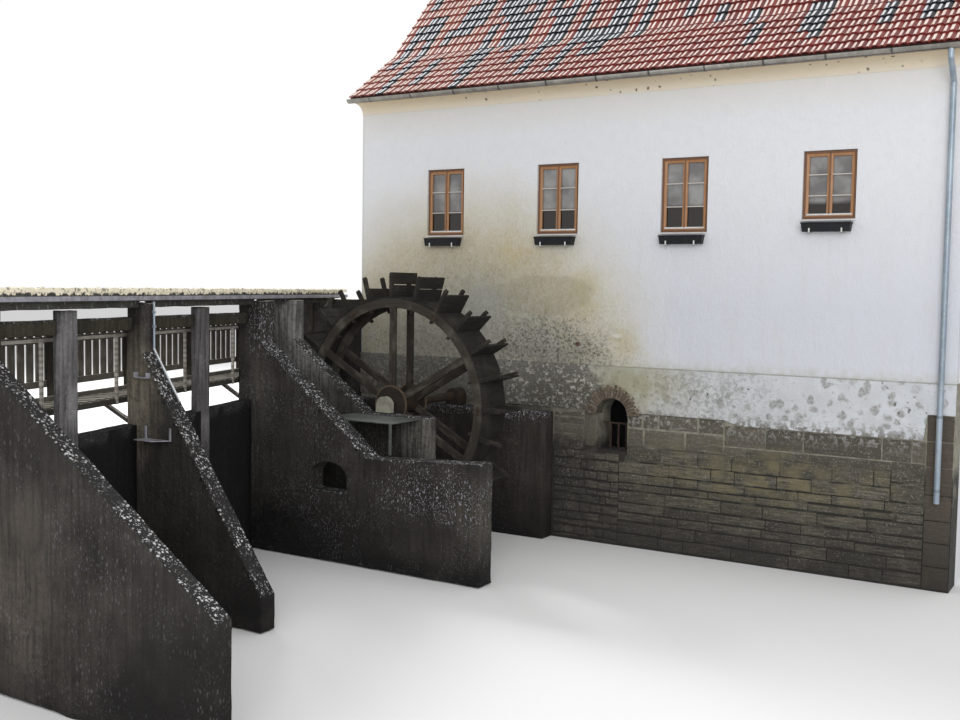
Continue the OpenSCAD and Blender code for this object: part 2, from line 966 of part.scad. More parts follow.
// Half ring of bricks on edge over the arched opening
module brick_arch() {
    color([0.5, 0.33, 0.24])
    along_y(face_y - ledge_out - over / 2, face_y + stone_in + arch_deep - seat)
        intersection() {
            difference() {
                arch_profile(arch_w / 2 + arch_ring - seat);
                arch_profile(arch_w / 2);
            }
            translate([arch_x - arch_w, arch_z + seat])
                square([2 * arch_w, 2 * arch_w]);
        }
}

// A rail with three upright bars in the lower part of the opening
module arch_bars() {
    rail_z = arch_z - bar_drop;
    y = face_y + arch_deep + bar_in;
    color([0.3, 0.27, 0.24])
    union() {
        translate([arch_x - arch_w / 2 + seat, y, rail_z])
            cube([arch_w - 2 * seat, bar_s, bar_s]);
        for (k = [-1:1])
            translate([arch_x + k * arch_w / 4 - bar_s / 2, y, arch_sill_z + seat])
                cube([bar_s, bar_s, rail_z - arch_sill_z]);
    }
}

module inner_race_wall() {
    color([0.3, 0.28, 0.25])
    translate([-half_l, inner_y, 0])
        cube([inner_end_x + half_l, inner_t + stone_in - seat, inner_z]);
}

// Side view of a buttress: upright, slope and toe
module buttress_profile(x, depth, top_z, run, foot_z) {
    polygon([
        [x - depth, 0],
        [x + run, 0],
        [x + run, foot_z],
        [x, top_z],
        [x, pier_top_z],
        [x - depth, pier_top_z]
    ]);
}

// Buttress and long low wall of the race, with its culvert
module outer_race_wall() {
    color([0.33, 0.31, 0.28])
    difference() {
        along_y(outer_y, outer_y + outer_t)
            polygon([
                [arris_x - upright_d, 0],
                [outer_end_x, 0],
                [outer_end_x, outer_end_z],
                [outer_elbow_x, outer_low_z],
                [arris_x, slope_z],
                [arris_x, pier_top_z],
                [arris_x - upright_d, pier_top_z]
            ]);
        along_y(outer_y - over, outer_y + outer_t + over)
            culvert_profile();
    }
}

// A low opening with a flat arch on top
module culvert_profile() {
    r = (pow(culvert_w / 2, 2) + pow(culvert_rise, 2)) / (2 * culvert_rise);
    translate([culvert_x, culvert_z])
        union() {
            translate([-culvert_w / 2, 0])
                square([culvert_w, culvert_h]);
            intersection() {
                translate([0, culvert_h + culvert_rise - r])
                    circle(r = r, $fn = 96);
                translate([-culvert_w / 2, culvert_h - 1])
                    square([culvert_w, culvert_rise + 2]);
            }
        }
}

// Wall that carries the wheel's outer bearing
module bearing_pier() {
    x = pier_arris_x;
    color([0.45, 0.43, 0.4])
    along_y(pier_y, pier_y + pier_t)
        polygon([
            [x - pier_upright_d, 0],
            [pier_end_x, 0],
            [pier_end_x, pier_z],
            [axle_x - pier_flat, pier_z],
            [x, slope_z],
            [x, pier_top_z],
            [x - pier_upright_d, pier_top_z]
        ]);
}

// Bearing housing with a half-round top, standing at a given height
module plummer(z0) {
    side = axle_r + housing_wall;
    intersection() {
        union() {
            circle(r = side, $fn = 48);
            translate([-side, z0 - axle_z])
                square([2 * side, axle_z - z0]);
        }
        translate([-side, z0 - axle_z])
            square([2 * side, axle_z - z0 + side]);
    }
}

// Bearing on the pier, closed on its river side
module axle_bearing() {
    back = pier_y + pier_t - cap_in;
    color([0.72, 0.67, 0.5])
    difference() {
        translate([axle_x, 0, axle_z])
            along_y(back - cap_l, back)
                plummer(pier_z + seat);
        translate([axle_x, back - cap_l + cap_end, axle_z])
            rotate([-90, 0, 0])
                cylinder(r = axle_r + axle_gap, h = cap_l, $fn = 48);
    }
}

// Bearing on the inner race wall
module wall_bearing() {
    color([0.35, 0.33, 0.3])
    difference() {
        translate([axle_x, 0, axle_z])
            along_y(inner_y + (inner_t - wall_cap_l) / 2,
                    inner_y + (inner_t + wall_cap_l) / 2)
                plummer(inner_z + seat);
        translate([axle_x, inner_y, axle_z])
            rotate([-90, 0, 0])
                cylinder(r = axle_r + axle_gap, h = inner_t, $fn = 48);
    }
}

// Height of the outer wall's top over a given place downstream of its upright
function outer_top(x) =
    max(outer_low_z + (x - outer_elbow_x) * (outer_end_z - outer_low_z)
                      / (outer_end_x - outer_elbow_x),
        outer_low_z - (x - outer_elbow_x) * (slope_z - outer_low_z)
                      / (outer_elbow_x - arris_x));

// Sheet platform between the two walls, on a slim post at its corner
module bearing_shelf() {
    back = outer_y + outer_t;
    z = pier_z - shelf_drop - shelf_t;
    x1 = shelf_x + shelf_l;
    foot = max(outer_top(x1 - leg_s), outer_top(x1)) + seat;
    color([0.4, 0.43, 0.42])
    union() {
        translate([shelf_x, back + seat, z])
            cube([shelf_l, pier_y - back - 2 * seat, shelf_t]);
        translate([x1 - leg_s, back - leg_s, z])
            cube([leg_s, 2 * leg_s, shelf_t]);
        translate([x1 - leg_s, back - leg_s, foot])
            cube([leg_s, leg_s, z - foot + 1]);
    }
}

module ring(r_out, r_in, t) {
    rotate([90, 0, 0])
        difference() {
            cylinder(r = r_out, h = t, center = true, $fn = 96);
            cylinder(r = r_in, h = t + 2, center = true, $fn = 96);
        }
}

// Places a piece at both rims of the wheel
module at_rims() {
    for (side = [-1, 1])
        translate([axle_x, wheel_y + side * rim_y, axle_z])
            children();
}

module wheel_rims() {
    color([0.33, 0.24, 0.17])
    at_rims()
        ring(rim_r, rim_r - rim_h, rim_t);
}

// Distance from the axle at which a square end fits in a rim, given its half width
function rim_reach(half) =
    sqrt(pow(rim_r - rim_h, 2) - pow(half, 2)) - rim_seat;

module wheel_spokes() {
    color([0.36, 0.24, 0.18])
    at_rims()
        for (k = [0:spokes - 1])
            rotate([0, -first_spoke - k * 360 / spokes, 0])
                translate([barrel_r, -spoke_t / 2, -spoke_w / 2])
                    cube([rim_reach(spoke_w / 2) - barrel_r, spoke_t, spoke_w]);
}

// Round plates outside each set of spokes, and the boss between them
module wheel_hubs() {
    color([0.3, 0.22, 0.17])
    translate([axle_x, wheel_y, axle_z])
        union() {
            for (side = [-1, 1])
                translate([0, side * (rim_y + spoke_t / 2 + seat + hub_t / 2), 0])
                    ring(hub_r, axle_r, hub_t);
        }
}

module wheel_axle() {
    y0 = pier_y + pier_t - cap_l + cap_end - cap_in;
    y1 = face_y + wall_t - axle_end;
    color([0.25, 0.23, 0.22])
    union() {
        translate([axle_x, y0, axle_z])
            rotate([-90, 0, 0])
                cylinder(r = axle_r, h = y1 - y0, $fn = 48);
        translate([axle_x, wheel_y - rim_y - spoke_t / 2, axle_z])
            rotate([-90, 0, 0])
                cylinder(r = barrel_r - seat, h = rim_gap + spoke_t, $fn = 48);
    }
}

// Places a piece at one paddle, with X along the radius
module at_paddle(k) {
    translate([axle_x, wheel_y, axle_z])
        rotate([0, -first_paddle + k * 360 / paddles, 0])
            children();
}

// Sole boards that close the drum between the paddles
module wheel_drum() {
    y0 = -rim_y - rim_t / 2;
    y1 = paddle_shift + paddle_l / 2;
    color([0.24, 0.2, 0.16])
    translate([axle_x, wheel_y + (y0 + y1) / 2, axle_z])
        ring(rim_r + seat + drum_t, rim_r + seat, y1 - y0);
}

// One arm with its rounded end, standing on the drum
module arm() {
    len = paddle_r - paddle_foot - arm_w / 2;
    translate([paddle_foot, -arm_w / 2, 0])
        cube([len, arm_w, arm_t]);
    translate([paddle_foot + len, 0, 0])
        cylinder(d = arm_w, h = arm_t, $fn = 24);
}

// True where a paddle's tenon comes out beside the spokes and not on one
function clear_of_spokes(k) =
    let (step = 360 / spokes,
         turn = first_paddle - first_spoke - k * 360 / paddles,
         off = (turn % step + step) % step)
    min(off, step - off) > 5;

// Two arms behind each paddle, and the ends of their tenons inside the rims
module paddle_arms() {
    color([0.2, 0.17, 0.14])
    for (k = [0:paddles - 1])
        at_paddle(k)
            for (side = [-1, 1])
                translate([0, side * rim_y, 0]) {
                    arm();
                    if (clear_of_spokes(k))
                        translate([rim_reach(arm_t - tenon_in) - tenon_l,
                                   tenon_in - arm_w / 2, tenon_in])
                            cube([tenon_l, arm_w - 2 * tenon_in,
                                  arm_t - 2 * tenon_in]);
                }
}

// True where a paddle's number is in a list
function among(k, list) = len([for (v = list) if (v == k) v]) > 0;

// Inner and outer board of each paddle; some outer boards are worn or lost
module paddle_boards() {
    color([0.17, 0.15, 0.13])
    for (k = [0:paddles - 1])
        at_paddle(k) {
            translate([paddle_foot, paddle_shift - paddle_l / 2, -paddle_t - seat])
                cube([board_h, paddle_l, paddle_t]);
            if (!among(k, bare_paddles))
                translate([paddle_foot + board_h + paddle_slit,
                           paddle_shift - paddle_l / 2, -paddle_t - seat])
                    cube([board_h - (among(k, worn_paddles) ? worn : 0),
                          paddle_l, paddle_t]);
        }
}

// The weir's supports, counted from the race towards the bank
function support_y(k) = outer_y - k * bay * cos(skew);
function support_x(k) = arris_x + k * bay * sin(skew);

module middle_buttress() {
    run = (mid_slope_z - mid_toe_z) / tan(mid_slope);
    color([0.36, 0.34, 0.3])
    along_y(mid_y, mid_y + mid_t)
        buttress_profile(mid_x, mid_d, mid_slope_z, run, mid_toe_z);
}

module bank_buttress() {
    toe = bank_slope_z - bank_run * tan(bank_slope);
    color([0.36, 0.34, 0.3])
    along_y(support_y(4), support_y(4) + bank_t)
        buttress_profile(support_x(4), upright_d, bank_slope_z, bank_run, toe);
}

// The two posts between the buttresses, grown by a gap
module post_blocks(gap) {
    for (k = [1, 3])
        at_weir()
            translate([-beam_in, post_shift - k * bay, 0])
                rotate([0, 0, -skew])
                    translate([-post_d - gap, -post_w - gap, 0])
                        cube([post_d + 2 * gap, post_w + 2 * gap,
                              pier_top_z - beam_h]);
}

module weir_posts() {
    color([0.5, 0.48, 0.43])
        post_blocks(0);
}

// A long piece in the weir's own axes, cut to length between two Y planes
module weir_bar(y0, y1, x0, x1, z0, z1) {
    intersection() {
        at_weir()
            translate([x0, -5 * bay, z0])
                cube([x1 - x0, 8 * bay, z1 - z0]);
        translate([-big / 2, y0 + seat, 0])
            cube([big, y1 - y0 - 2 * seat, big]);
    }
}

// The clear lengths between bank buttress, middle buttress and race wall
module open_bays(x0, x1, z0, z1) {
    weir_bar(support_y(4) + bank_t, mid_y, x0, x1, z0, z1);
    weir_bar(mid_y + mid_t, outer_y, x0, x1, z0, z1);
}

// The weir's wall, with a low sill where the race begins
module weir_wall() {
    front = -weir_in;
    color([0.2, 0.19, 0.17])
    difference() {
        union() {
            open_bays(front - weir_t, front, 0, crest_z);
            weir_bar(outer_y + outer_t, pier_y, front - weir_t, front, 0, crest_z);
            weir_bar(pier_y + pier_t, inner_y, front - weir_t, front, 0, sill_z);
        }
        post_blocks(seat);
    }
}

// Pier at the house's corner that takes the footbridge's end
module bridge_abutment() {
    color([0.33, 0.31, 0.28])
    translate([-half_l - abut_l, inner_y, 0])
        cube([abut_l - seat, abut_d, pier_top_z]);
}

// Slab of the footbridge with its beam below, interrupted at the supports
module footbridge() {
    z = pier_top_z + seat;
    color([0.5, 0.47, 0.4])
    union() {
        weir_bar(support_y(4) - deck_end, inner_y + deck_seat,
                 -deck_w - deck_in, -deck_in, z, z + deck_t);
        open_bays(-beam_in - beam_t, -beam_in, z - beam_h, z + 1);
        weir_bar(outer_y + outer_t, pier_y,
                 -beam_in - beam_t, -beam_in, z - beam_h, z + 1);
        weir_bar(pier_y + pier_t, inner_y,
                 -beam_in - beam_t, -beam_in, z - beam_h, z + 1);
        weir_bar(inner_y - block_off - block_l, inner_y - block_off,
                 -deck_in - block_d, -deck_in, z - block_h, z + 1);
    }
}

module guide_beam() {
    color([0.3, 0.28, 0.25])
    difference() {
        open_bays(-guide_in - beam_t, -guide_in, guide_z - guide_h, guide_z);
        post_blocks(seat);
    }
}

// The paling's posts, fixed to the walkway's upstream bearer
module slim_posts() {
    z = walk_z - bearer_h;
    color([0.36, 0.35, 0.3])
    at_weir()
        for (k = [0:4])
            translate([rear_x, slim_shift - k * slim_pitch, z])
                cube([slim_s, slim_s, slim_z - z]);
}

// Two rails and a row of pales behind the slim posts
module paling() {
    len = 4 * slim_pitch + slim_s;
    count = floor((len - pale_w) / (pale_w + pale_gap));
    color([0.35, 0.33, 0.28])
    at_weir()
        translate([rear_x - seat - rail_t, slim_shift - 4 * slim_pitch, paling_z]) {
            for (z = [0, paling_h - rail_in])
                translate([0, 0, z])
                    cube([rail_t, len, rail_h]);
            for (i = [0:count])
                translate([-pale_t, i * (pale_w + pale_gap), 0])
                    cube([pale_t + 1, pale_w, paling_h]);
        }
}

// Slanted brace under the walkway, with its foot on an upright's back
module walkway_brace(x, y, run) {
    translate([x - seat, y + bearer_w, walk_z - bearer_h])
        rotate([90, 0, 0])
            linear_extrude(height = bearer_w)
                polygon([
                    [0, -brace_h],
                    [-run, 0],
                    [-run, 1],
                    [2 * bearer_w - run, 1],
                    [0, bearer_w - brace_h]
                ]);
}

// Handrail on posts along the walkway's downstream bearer
module handrail() {
    z = walk_z - bearer_h;
    first = min(hand_posts);
    for (y = hand_posts)
        translate([walk_front - 1, y, z])
            cube([hand_s, hand_s, hand_z - z]);
    translate([walk_front - 1, first, hand_z - hand_s])
        cube([hand_s, max(hand_posts) + hand_over - first, hand_s]);
}

// Open grating of cross slats on two bearers, with braces below
module walkway() {
    rear = rear_x + slim_s + seat;
    first = upright_d * sin(skew) - 4 * bay;
    len = walk_over - first;
    count = floor((len - slat_w) / slat_pitch);
    color([0.4, 0.4, 0.36])
    union() {
        at_weir() {
            translate([walk_front - bearer_w, first, walk_z - bearer_h])
                cube([bearer_w, len, bearer_h]);
            translate([rear, first, walk_z - bearer_h])
                cube([bearer_w, slim_shift + slim_s - first, bearer_h + kerb_h]);
            for (i = [0:count])
                translate([rear, first + i * slat_pitch, walk_z - 1])
                    cube([walk_front - rear, slat_w, slat_t]);
            handrail();
        }
        walkway_brace(arris_x - upright_d, outer_y + bearer_w / 2, brace_run);
        walkway_brace(mid_x - mid_d, mid_y + bearer_w / 2, brace_run + mid_reach);
        walkway_brace(support_x(4) - upright_d, support_y(4) + bearer_w / 2, brace_run);
    }
}

// Boards between two posts, closing the race towards the weir
module sluice_gate() {
    near = pier_y + pier_t;
    post_y = (near - outer_y + gate_in * sin(skew)) / cos(skew) + gate_post_in;
    rail_z = gate_z + gate_gap;
    color([0.3, 0.26, 0.2])
    union() {
        weir_bar(near, inner_y, -gate_in, gate_t - gate_in, sill_z + seat, gate_z);
        weir_bar(near, inner_y, -gate_in, gate_t - gate_in,
                 rail_z, rail_z + gate_rail_h);
        at_weir()
            for (k = [0, 1])
                translate([-gate_in - over, post_y + k * gate_post_pitch, sill_z + seat])
                    cube([gate_post_d, gate_post_w, pier_top_z - sill_z - seat]);
    }
}

// Steel rod down the middle buttress's far edge
module edge_rod() {
    x = mid_x + rod_dia / 2 + rod_gap;
    y = mid_y + mid_t - rod_in;
    run = (mid_slope_z - rod_z) / tan(mid_slope);
    knee = mid_slope_z + rod_dia / 2;
    color([0.75, 0.76, 0.78])
    union() {
        translate([x, y, knee])
            cylinder(d = rod_dia, h = pier_top_z - knee, $fn = 24);
        translate([x, y, knee])
            sphere(d = rod_dia + rod_clip, $fn = 24);
        translate([x, y, knee])
            rotate([0, 180 - atan2(run, mid_slope_z - rod_z), 0])
                cylinder(d = rod_dia, h = norm([run, mid_slope_z - rod_z]), $fn = 24);
        for (z = [mid_slope_z + 2 * beam_t, pier_top_z - beam_t])
            translate([mid_x + seat, y - rod_dia / 2 - rod_clip, z])
                cube([rod_dia + rod_gap + rod_clip, rod_dia + 2 * rod_clip, rod_dia]);
    }
}

stone_base();
base_render();
front_wall();
back_wall();
upstream_gable();
downstream_gable();
upper_floor();
eaves_coves();
river_roof();
back_roof();
ridge_tiles();
gutters();
gutter_brackets();
downpipe();
window_frames();
window_glass();
window_sills();
flower_boxes();
brick_arch();
arch_bars();
inner_race_wall();
outer_race_wall();
bearing_pier();
axle_bearing();
wall_bearing();
bearing_shelf();
wheel_rims();
wheel_spokes();
wheel_hubs();
wheel_axle();
wheel_drum();
paddle_arms();
paddle_boards();
middle_buttress();
bank_buttress();
weir_posts();
weir_wall();
bridge_abutment();
footbridge();
guide_beam();
slim_posts();
paling();
walkway();
sluice_gate();
edge_rod();
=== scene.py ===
# %% [markdown]
# # An old riverside watermill
#
# The solids of the mill come from a imported CAD model: walls, roof slabs, race walls, wheel and weir.
# They are right in size and place, but bare. This lesson dresses them: it adds the pieces that a
# mason, a roofer and a millwright would add, and gives every surface its own finish.
# The first cell loads the solids.

import functools
import math
import random

import bpy
from mathutils import Matrix, Vector


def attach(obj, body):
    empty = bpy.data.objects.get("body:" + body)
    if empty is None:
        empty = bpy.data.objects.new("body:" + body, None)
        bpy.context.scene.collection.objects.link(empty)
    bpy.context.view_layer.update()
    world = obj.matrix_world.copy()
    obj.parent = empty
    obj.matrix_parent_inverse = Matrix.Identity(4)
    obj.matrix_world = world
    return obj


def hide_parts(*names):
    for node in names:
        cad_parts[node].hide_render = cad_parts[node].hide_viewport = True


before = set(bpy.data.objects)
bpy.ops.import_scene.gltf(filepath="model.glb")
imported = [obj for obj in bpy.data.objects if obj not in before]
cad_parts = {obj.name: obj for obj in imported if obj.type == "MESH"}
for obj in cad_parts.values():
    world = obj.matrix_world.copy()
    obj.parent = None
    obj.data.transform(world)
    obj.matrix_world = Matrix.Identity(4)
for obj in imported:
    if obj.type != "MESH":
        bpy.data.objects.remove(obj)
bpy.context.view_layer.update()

# %% [markdown]
# The sizes that the new pieces share with the solids are written once, in metres. X runs downstream
# along the river wall, Y from the river into the house, and Z is up from the lowest water line.

# %% Sizes of the house, its roof and its wheel
HALF_L = 5.7          # half the length of the house
FACE_Y = -0.3         # the river wall's face
RIDGE_Y = 4.2         # the ridge, halfway between the long walls
LEDGE_Z = 3.24        # the plaster ledge
EAVES = Vector((0, -0.68, 8.35))
KNEE = Vector((0, 0.77, 9.3843))
RIDGE_Z = 13.154
FLARE, PITCH = math.radians(35.5), math.radians(47.7)
ROOF_HALF = 5.74      # half the length of the tiled roof
AXLE = Vector((-3.26, -2.285, 2.51))
WIN_X = [-3.675, -1.225, 1.225, 3.675]
WIN_TOP, WIN_W, WIN_H, WIN_SHORT = 6.88, 0.85, 1.28, 1.10
WIN_HEIGHTS = [WIN_H, WIN_H, WIN_H, WIN_SHORT]
SKEW = math.radians(18)
ARRIS = Vector((-4.83, -4.24, 0))
FROM_WEIR = Matrix.Translation(ARRIS) @ Matrix.Rotation(SKEW, 4, "Z")    # weir: x downstream, y along it
print("the house is", 2 * HALF_L, "long, its windows", WIN_W, "wide, and the race wall stands at", ARRIS.xy)

# %% [markdown]
# The camera stands where the photograph was taken, on the far bank and downstream, a little below
# the window sills. Its place was solved from the wall's level and upright lines. A camera looks along
# its own -Z, so its matrix is written from three directions: right, up and back.

# %% Camera
EYE = Vector((8.4, -18.574, 4.6))
yaw, tilt, roll = math.radians(31.577), math.radians(3.705), math.radians(0.882)
forward = Vector((-math.sin(yaw) * math.cos(tilt), math.cos(yaw) * math.cos(tilt), -math.sin(tilt)))
level = Vector((math.cos(yaw), math.sin(yaw), 0))
upward = level.cross(forward)
side = math.cos(roll) * level + math.sin(roll) * upward
top = math.cos(roll) * upward - math.sin(roll) * level
lens = bpy.data.cameras.new("camera")
lens.sensor_width = 36
lens.lens = 41.94
lens.clip_end = 400
camera = bpy.data.objects.new("camera", lens)
bpy.context.scene.collection.objects.link(camera)
camera.matrix_world = Matrix.Translation(EYE) @ Matrix((side, top, -forward)).transposed().to_4x4()
bpy.context.scene.camera = camera
print("camera looks along", [round(v, 3) for v in forward])

# %% [markdown]
# A studio for a building is a pale floor and a bright sky. The world is a little brighter for rays
# that come straight from the camera, or through glass and gloss, so that the background turns white
# without putting more light on the mill. One broad lamp stands upstream and behind the house, where
# the sun stood: it lights the roof and the tops of walls and rails. The bright line on every roof tile
# is a painted highlight in the clay's finish. A weaker lamp fills the river side. The first three
# helpers add nodes to the tree that is in hand.

# %% World, lamps and floor
def see(inputs, index, value):
    """Fills one input of a node, by a link where the value is a socket. A colour is made opaque."""
    if isinstance(value, bpy.types.NodeSocket):
        tree.links.new(value, inputs[index])
    elif inputs[index].type == "RGBA":
        inputs[index].default_value = (*value, 1.0)
    else:
        inputs[index].default_value = value


def add(kind, inputs=(), **settings):
    """Adds a node, sets it up and connects its inputs. Inputs are (name or number, value) pairs."""
    made = tree.nodes.new("ShaderNode" + kind)
    for name, value in settings.items():
        setattr(made, name, value)
    for index, value in inputs:
        see(made.inputs, index, value)
    return made


def maths(operation, a, b=0.0, clamp=False):
    return add("Math", [(0, a), (1, b)], operation=operation, use_clamp=clamp).outputs[0]


SKY_SPARED = 0.20     # how much less the sky gives to surfaces than to the camera
world = bpy.data.worlds.new("studio")
bpy.context.scene.world = world
world.use_nodes = True
tree = world.node_tree
path = add("LightPath").outputs
seen = maths("ADD", path["Is Camera Ray"], path["Is Glossy Ray"])
unseen = maths("SUBTRACT", 1.0, maths("ADD", seen, path["Is Transmission Ray"], True))
sky = tree.nodes["Background"].inputs
see(sky, "Color", (1.0, 1.0, 1.0))
see(sky, "Strength", maths("SUBTRACT", 1.0, maths("MULTIPLY", unseen, SKY_SPARED)))


def lamp(name, place, aim, size, watts):
    """A square soft lamp at a place, turned towards a point."""
    light = bpy.data.lights.new(name, "AREA")
    light.shape = "SQUARE"
    light.size = size
    light.energy = watts
    holder = bpy.data.objects.new(name, light)
    bpy.context.scene.collection.objects.link(holder)
    holder.location = place
    holder.rotation_euler = (Vector(aim) - Vector(place)).to_track_quat("-Z", "Y").to_euler()


lamp("low_lamp", (-34, 13, 26), (-1, 0, 5), 8, 12500)
lamp("fill_lamp", (16, -26, 12), (0, 0, 4), 16, 3600)
bpy.ops.object.select_all(action="DESELECT")
bpy.ops.mesh.primitive_plane_add(size=400, location=(0, 0, -0.002))
floor = bpy.context.object
floor.name = "studio_floor"

# %% [markdown]
# ## Finishes
#
# Every finish is a node tree on the Principled shader, and reads the place of a point on the object,
# so the pattern stays where it is when the camera moves. A few short helpers keep the trees readable:
# each works on the finish that was begun last. A cloud is noise cut to a range, a blot is a ragged
# patch on the river wall, and paint lays one colour over what is there, where its masks say so.

# %% Helpers for the finishes
def begin(name, roughness, metallic=0.0, specular=0.5):
    """Starts a finish. The helpers add to it until the next one is begun."""
    global material, tree, shader, place, point
    material = bpy.data.materials.new(name)
    material.use_nodes = True
    tree = material.node_tree
    shader = tree.nodes["Principled BSDF"].inputs
    for key, value in (("Roughness", roughness), ("Metallic", metallic), ("Specular IOR Level", specular)):
        see(shader, key, value)
    place = point = add("TexCoord").outputs["Object"]


def axis(letter):
    return add("SeparateXYZ", [(0, place)]).outputs["XYZ".index(letter)]


def ramp(value, low, high, to_low=0.0, to_high=1.0):
    made = add("MapRange", [(0, value), (1, low), (2, high), (3, to_low), (4, to_high)], clamp=True)
    return made.outputs[0]


def fall(value, low, high):
    return ramp(value, low, high, 1.0, 0.0)


def below(low, high, full=1.0, rest=0.0):
    """Full under the lower height, down to the rest at the upper one."""
    return ramp(axis("Z"), low, high, full, rest)


def above(low, high, full=1.0):
    return ramp(axis("Z"), low, high, 0.0, full)


def cloud(scale, low=0.4, high=0.6, detail=5.0, stretch=(1, 1, 1), rough=0.55):
    where = add("Mapping", [(0, point), (3, stretch)]).outputs[0]
    noise = add("TexNoise", [("Vector", where), ("Scale", scale), ("Detail", detail), ("Roughness", rough)])
    return ramp(noise.outputs[0], low, high)


def cells(scale, stretch=(1, 1, 1), output=0, warp=0.0):
    """Distance to the middle of a cell, or with output 1 a random number for each cell."""
    where = add("Mapping", [(0, point), (3, stretch)]).outputs[0]
    if warp:
        wild = add("TexNoise", [("Vector", where), ("Scale", scale), ("Detail", 4.0)]).outputs[1]
        moved = add("Mapping", [(0, wild), (3, (warp, warp, warp))]).outputs[0]
        where = add("VectorMath", [(0, where), (1, moved)], operation="ADD").outputs[0]
    return add("TexVoronoi", [("Vector", where), ("Scale", scale)]).outputs[output]


def times(*masks):
    return functools.reduce(lambda a, b: maths("MULTIPLY", a, b, True), masks)


def plus(*masks):
    return functools.reduce(lambda a, b: maths("ADD", a, b, True), masks)


def less(mask):
    return maths("SUBTRACT", 1.0, mask, True)


def mix(mask, under, over):
    return add("Mix", [(0, mask), (6, under), (7, over)], data_type="RGBA").outputs[2]


def reach(centre, radii, ragged, scale):
    """How far a point lies from a place, 1 on an ellipsoid about it, with a ragged edge."""
    moved = add("VectorMath", [(0, place), (1, centre)], operation="SUBTRACT").outputs[0]
    scaled = add("VectorMath", [(0, moved), (1, radii)], operation="DIVIDE").outputs[0]
    far = add("VectorMath", [(0, scaled)], operation="LENGTH").outputs["Value"]
    return maths("ADD", far, ramp(cloud(scale, 0.2, 0.8, 6.0), 0, 1, -ragged / 2, ragged / 2))


def near(centre, radii, soft, ragged, scale=1.6):
    """A ragged round patch about a place, 1 in its middle."""
    return fall(reach(centre, radii, ragged, scale), 1.0 - soft, 1.0)


def blot(x, z, wide, high, soft, ragged, scale=1.6):
    """A ragged patch on the river wall's face."""
    return near((x, FACE_Y, z), (wide, 1, high), soft, ragged, scale)


def shades(value, *stops):
    """A row of colours along a value, given as (value, colour) pairs from 0 to 1."""
    made = add("ValToRGB", [(0, value)])
    band = made.color_ramp.elements
    for at, shade in stops[1:-1]:
        band.new(at)
    for stop, (at, shade) in zip(band, stops):
        stop.position, stop.color = at, (*shade, 1.0)
    return made.outputs[0]


def tone(name="tone"):
    """A number that was written on the faces or corners of a piece."""
    return add("Attribute", attribute_name=name).outputs["Fac"]


def facing_up(low, high):
    """1 where a surface looks up, by its normal."""
    normal = add("NewGeometry").outputs["Normal"]
    return ramp(add("SeparateXYZ", [(0, normal)]).outputs[2], low, high)


def base(mask, light, dark):
    """The first colour of a finish: light where the mask is 0, dark where it is 1."""
    global colour
    colour = mix(mask, light, dark)


def paint(shade, *masks):
    """Lays a shade over the colour so far, where the masks are 1. A number among them thins it."""
    global colour
    colour = mix(times(*masks), colour, shade)


def done(*bumps):
    """Connects the colour, and bumps as (mask, depth in metres) pairs: each lies over the one before."""
    see(shader, "Base Color", colour)
    over = shader
    for mask, depth in reversed(bumps):
        bump = add("Bump", [("Height", mask), ("Strength", 1.0), ("Distance", depth)])
        see(over, "Normal", bump.outputs[0])
        over = bump.inputs
    return material


def mottled(name, look, body, light, dark, grit, *spots):
    """Two mottled tones, spots as (cloud, colour, share) and a grit as (scale, depth)."""
    begin(name, *look)
    base(cloud(*body), light, dark)
    for where, shade, share in spots:
        paint(shade, cloud(*where), share)
    return done((cloud(grit[0], 0.3, 0.7), grit[1]))


def wear(look, *nodes):
    """Gives CAD nodes their finish."""
    for node in nodes:
        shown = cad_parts[node]
        shown.data.materials.clear()
        shown.data.materials.append(look)


print("helpers for finishes are ready")

# %% [markdown]
# The long wall is smooth render in the shade: a cool white, with faint trowel marks. Round the wheel,
# spray and moss have turned it cream, ochre, olive and nearly black, in rings that were read from the
# photograph: a colour ramp runs along the distance from the hub, and clouds make the rings ragged.
# Over that lie short trowel strokes, the edge of an old repair, and black and white crumbs low down.

# %% White render
begin("white_render", 0.9)
stroke = cloud(16, 0.35, 0.65, 5, (1.6, 1, 0.55), 0.6)
fine = cloud(42, 0.36, 0.64, 5, (1.5, 1, 0.7), 0.65)
wobble = maths("MULTIPLY", maths("SUBTRACT", stroke, 0.5), 0.045)
far = maths("ADD", reach((-3.1, FACE_Y, 3.0), (4.5, 8.0, 4.12), 0.11, 1.5), wobble)
clean = (0.67, 0.68, 0.71)
colour = shades(far, (0.0, (0.28, 0.27, 0.23)), (0.22, (0.325, 0.31, 0.26)), (0.40, (0.39, 0.37, 0.295)),
                (0.49, (0.455, 0.42, 0.315)), (0.57, (0.525, 0.475, 0.36)), (0.65, (0.575, 0.53, 0.42)),
                (0.73, (0.61, 0.585, 0.50)), (0.81, (0.635, 0.62, 0.58)), (0.92, (0.66, 0.66, 0.665)),
                (1.0, clean))
# Painted shade: the clean render is cooler and darker low on the river wall, below 4.3 to 6.6 m.
paint((0.565, 0.585, 0.635), below(4.3, 6.6), ramp(far, 0.75, 1.0))
river = fall(axis("Y"), -0.2, -0.1)
colour = mix(river, clean, colour)
# Painted shade: the upstream gable is darker, to take back part of the low lamp's light on it.
paint((0.51, 0.515, 0.53), fall(axis("X"), -5.69, -5.66))
ring = times(ramp(far, 0.95, 0.6), river)
paint((0.34, 0.30, 0.20), ring, stroke, 0.22)
paint((0.20, 0.185, 0.135), ring, fine, 0.25)
scratched = cloud(22, 0.50, 0.60, 7, (1.5, 1, 0.8), 0.75)
paint((0.13, 0.12, 0.09), ramp(far, 0.85, 0.45), river, scratched, 0.42)
paint((0.56, 0.56, 0.57), cloud(6, 0.45, 0.75), 0.2)
paint((0.46, 0.36, 0.15), blot(-2.1, 5.25, 0.80, 0.45, 0.9, 0.5, 3), stroke, 0.6)
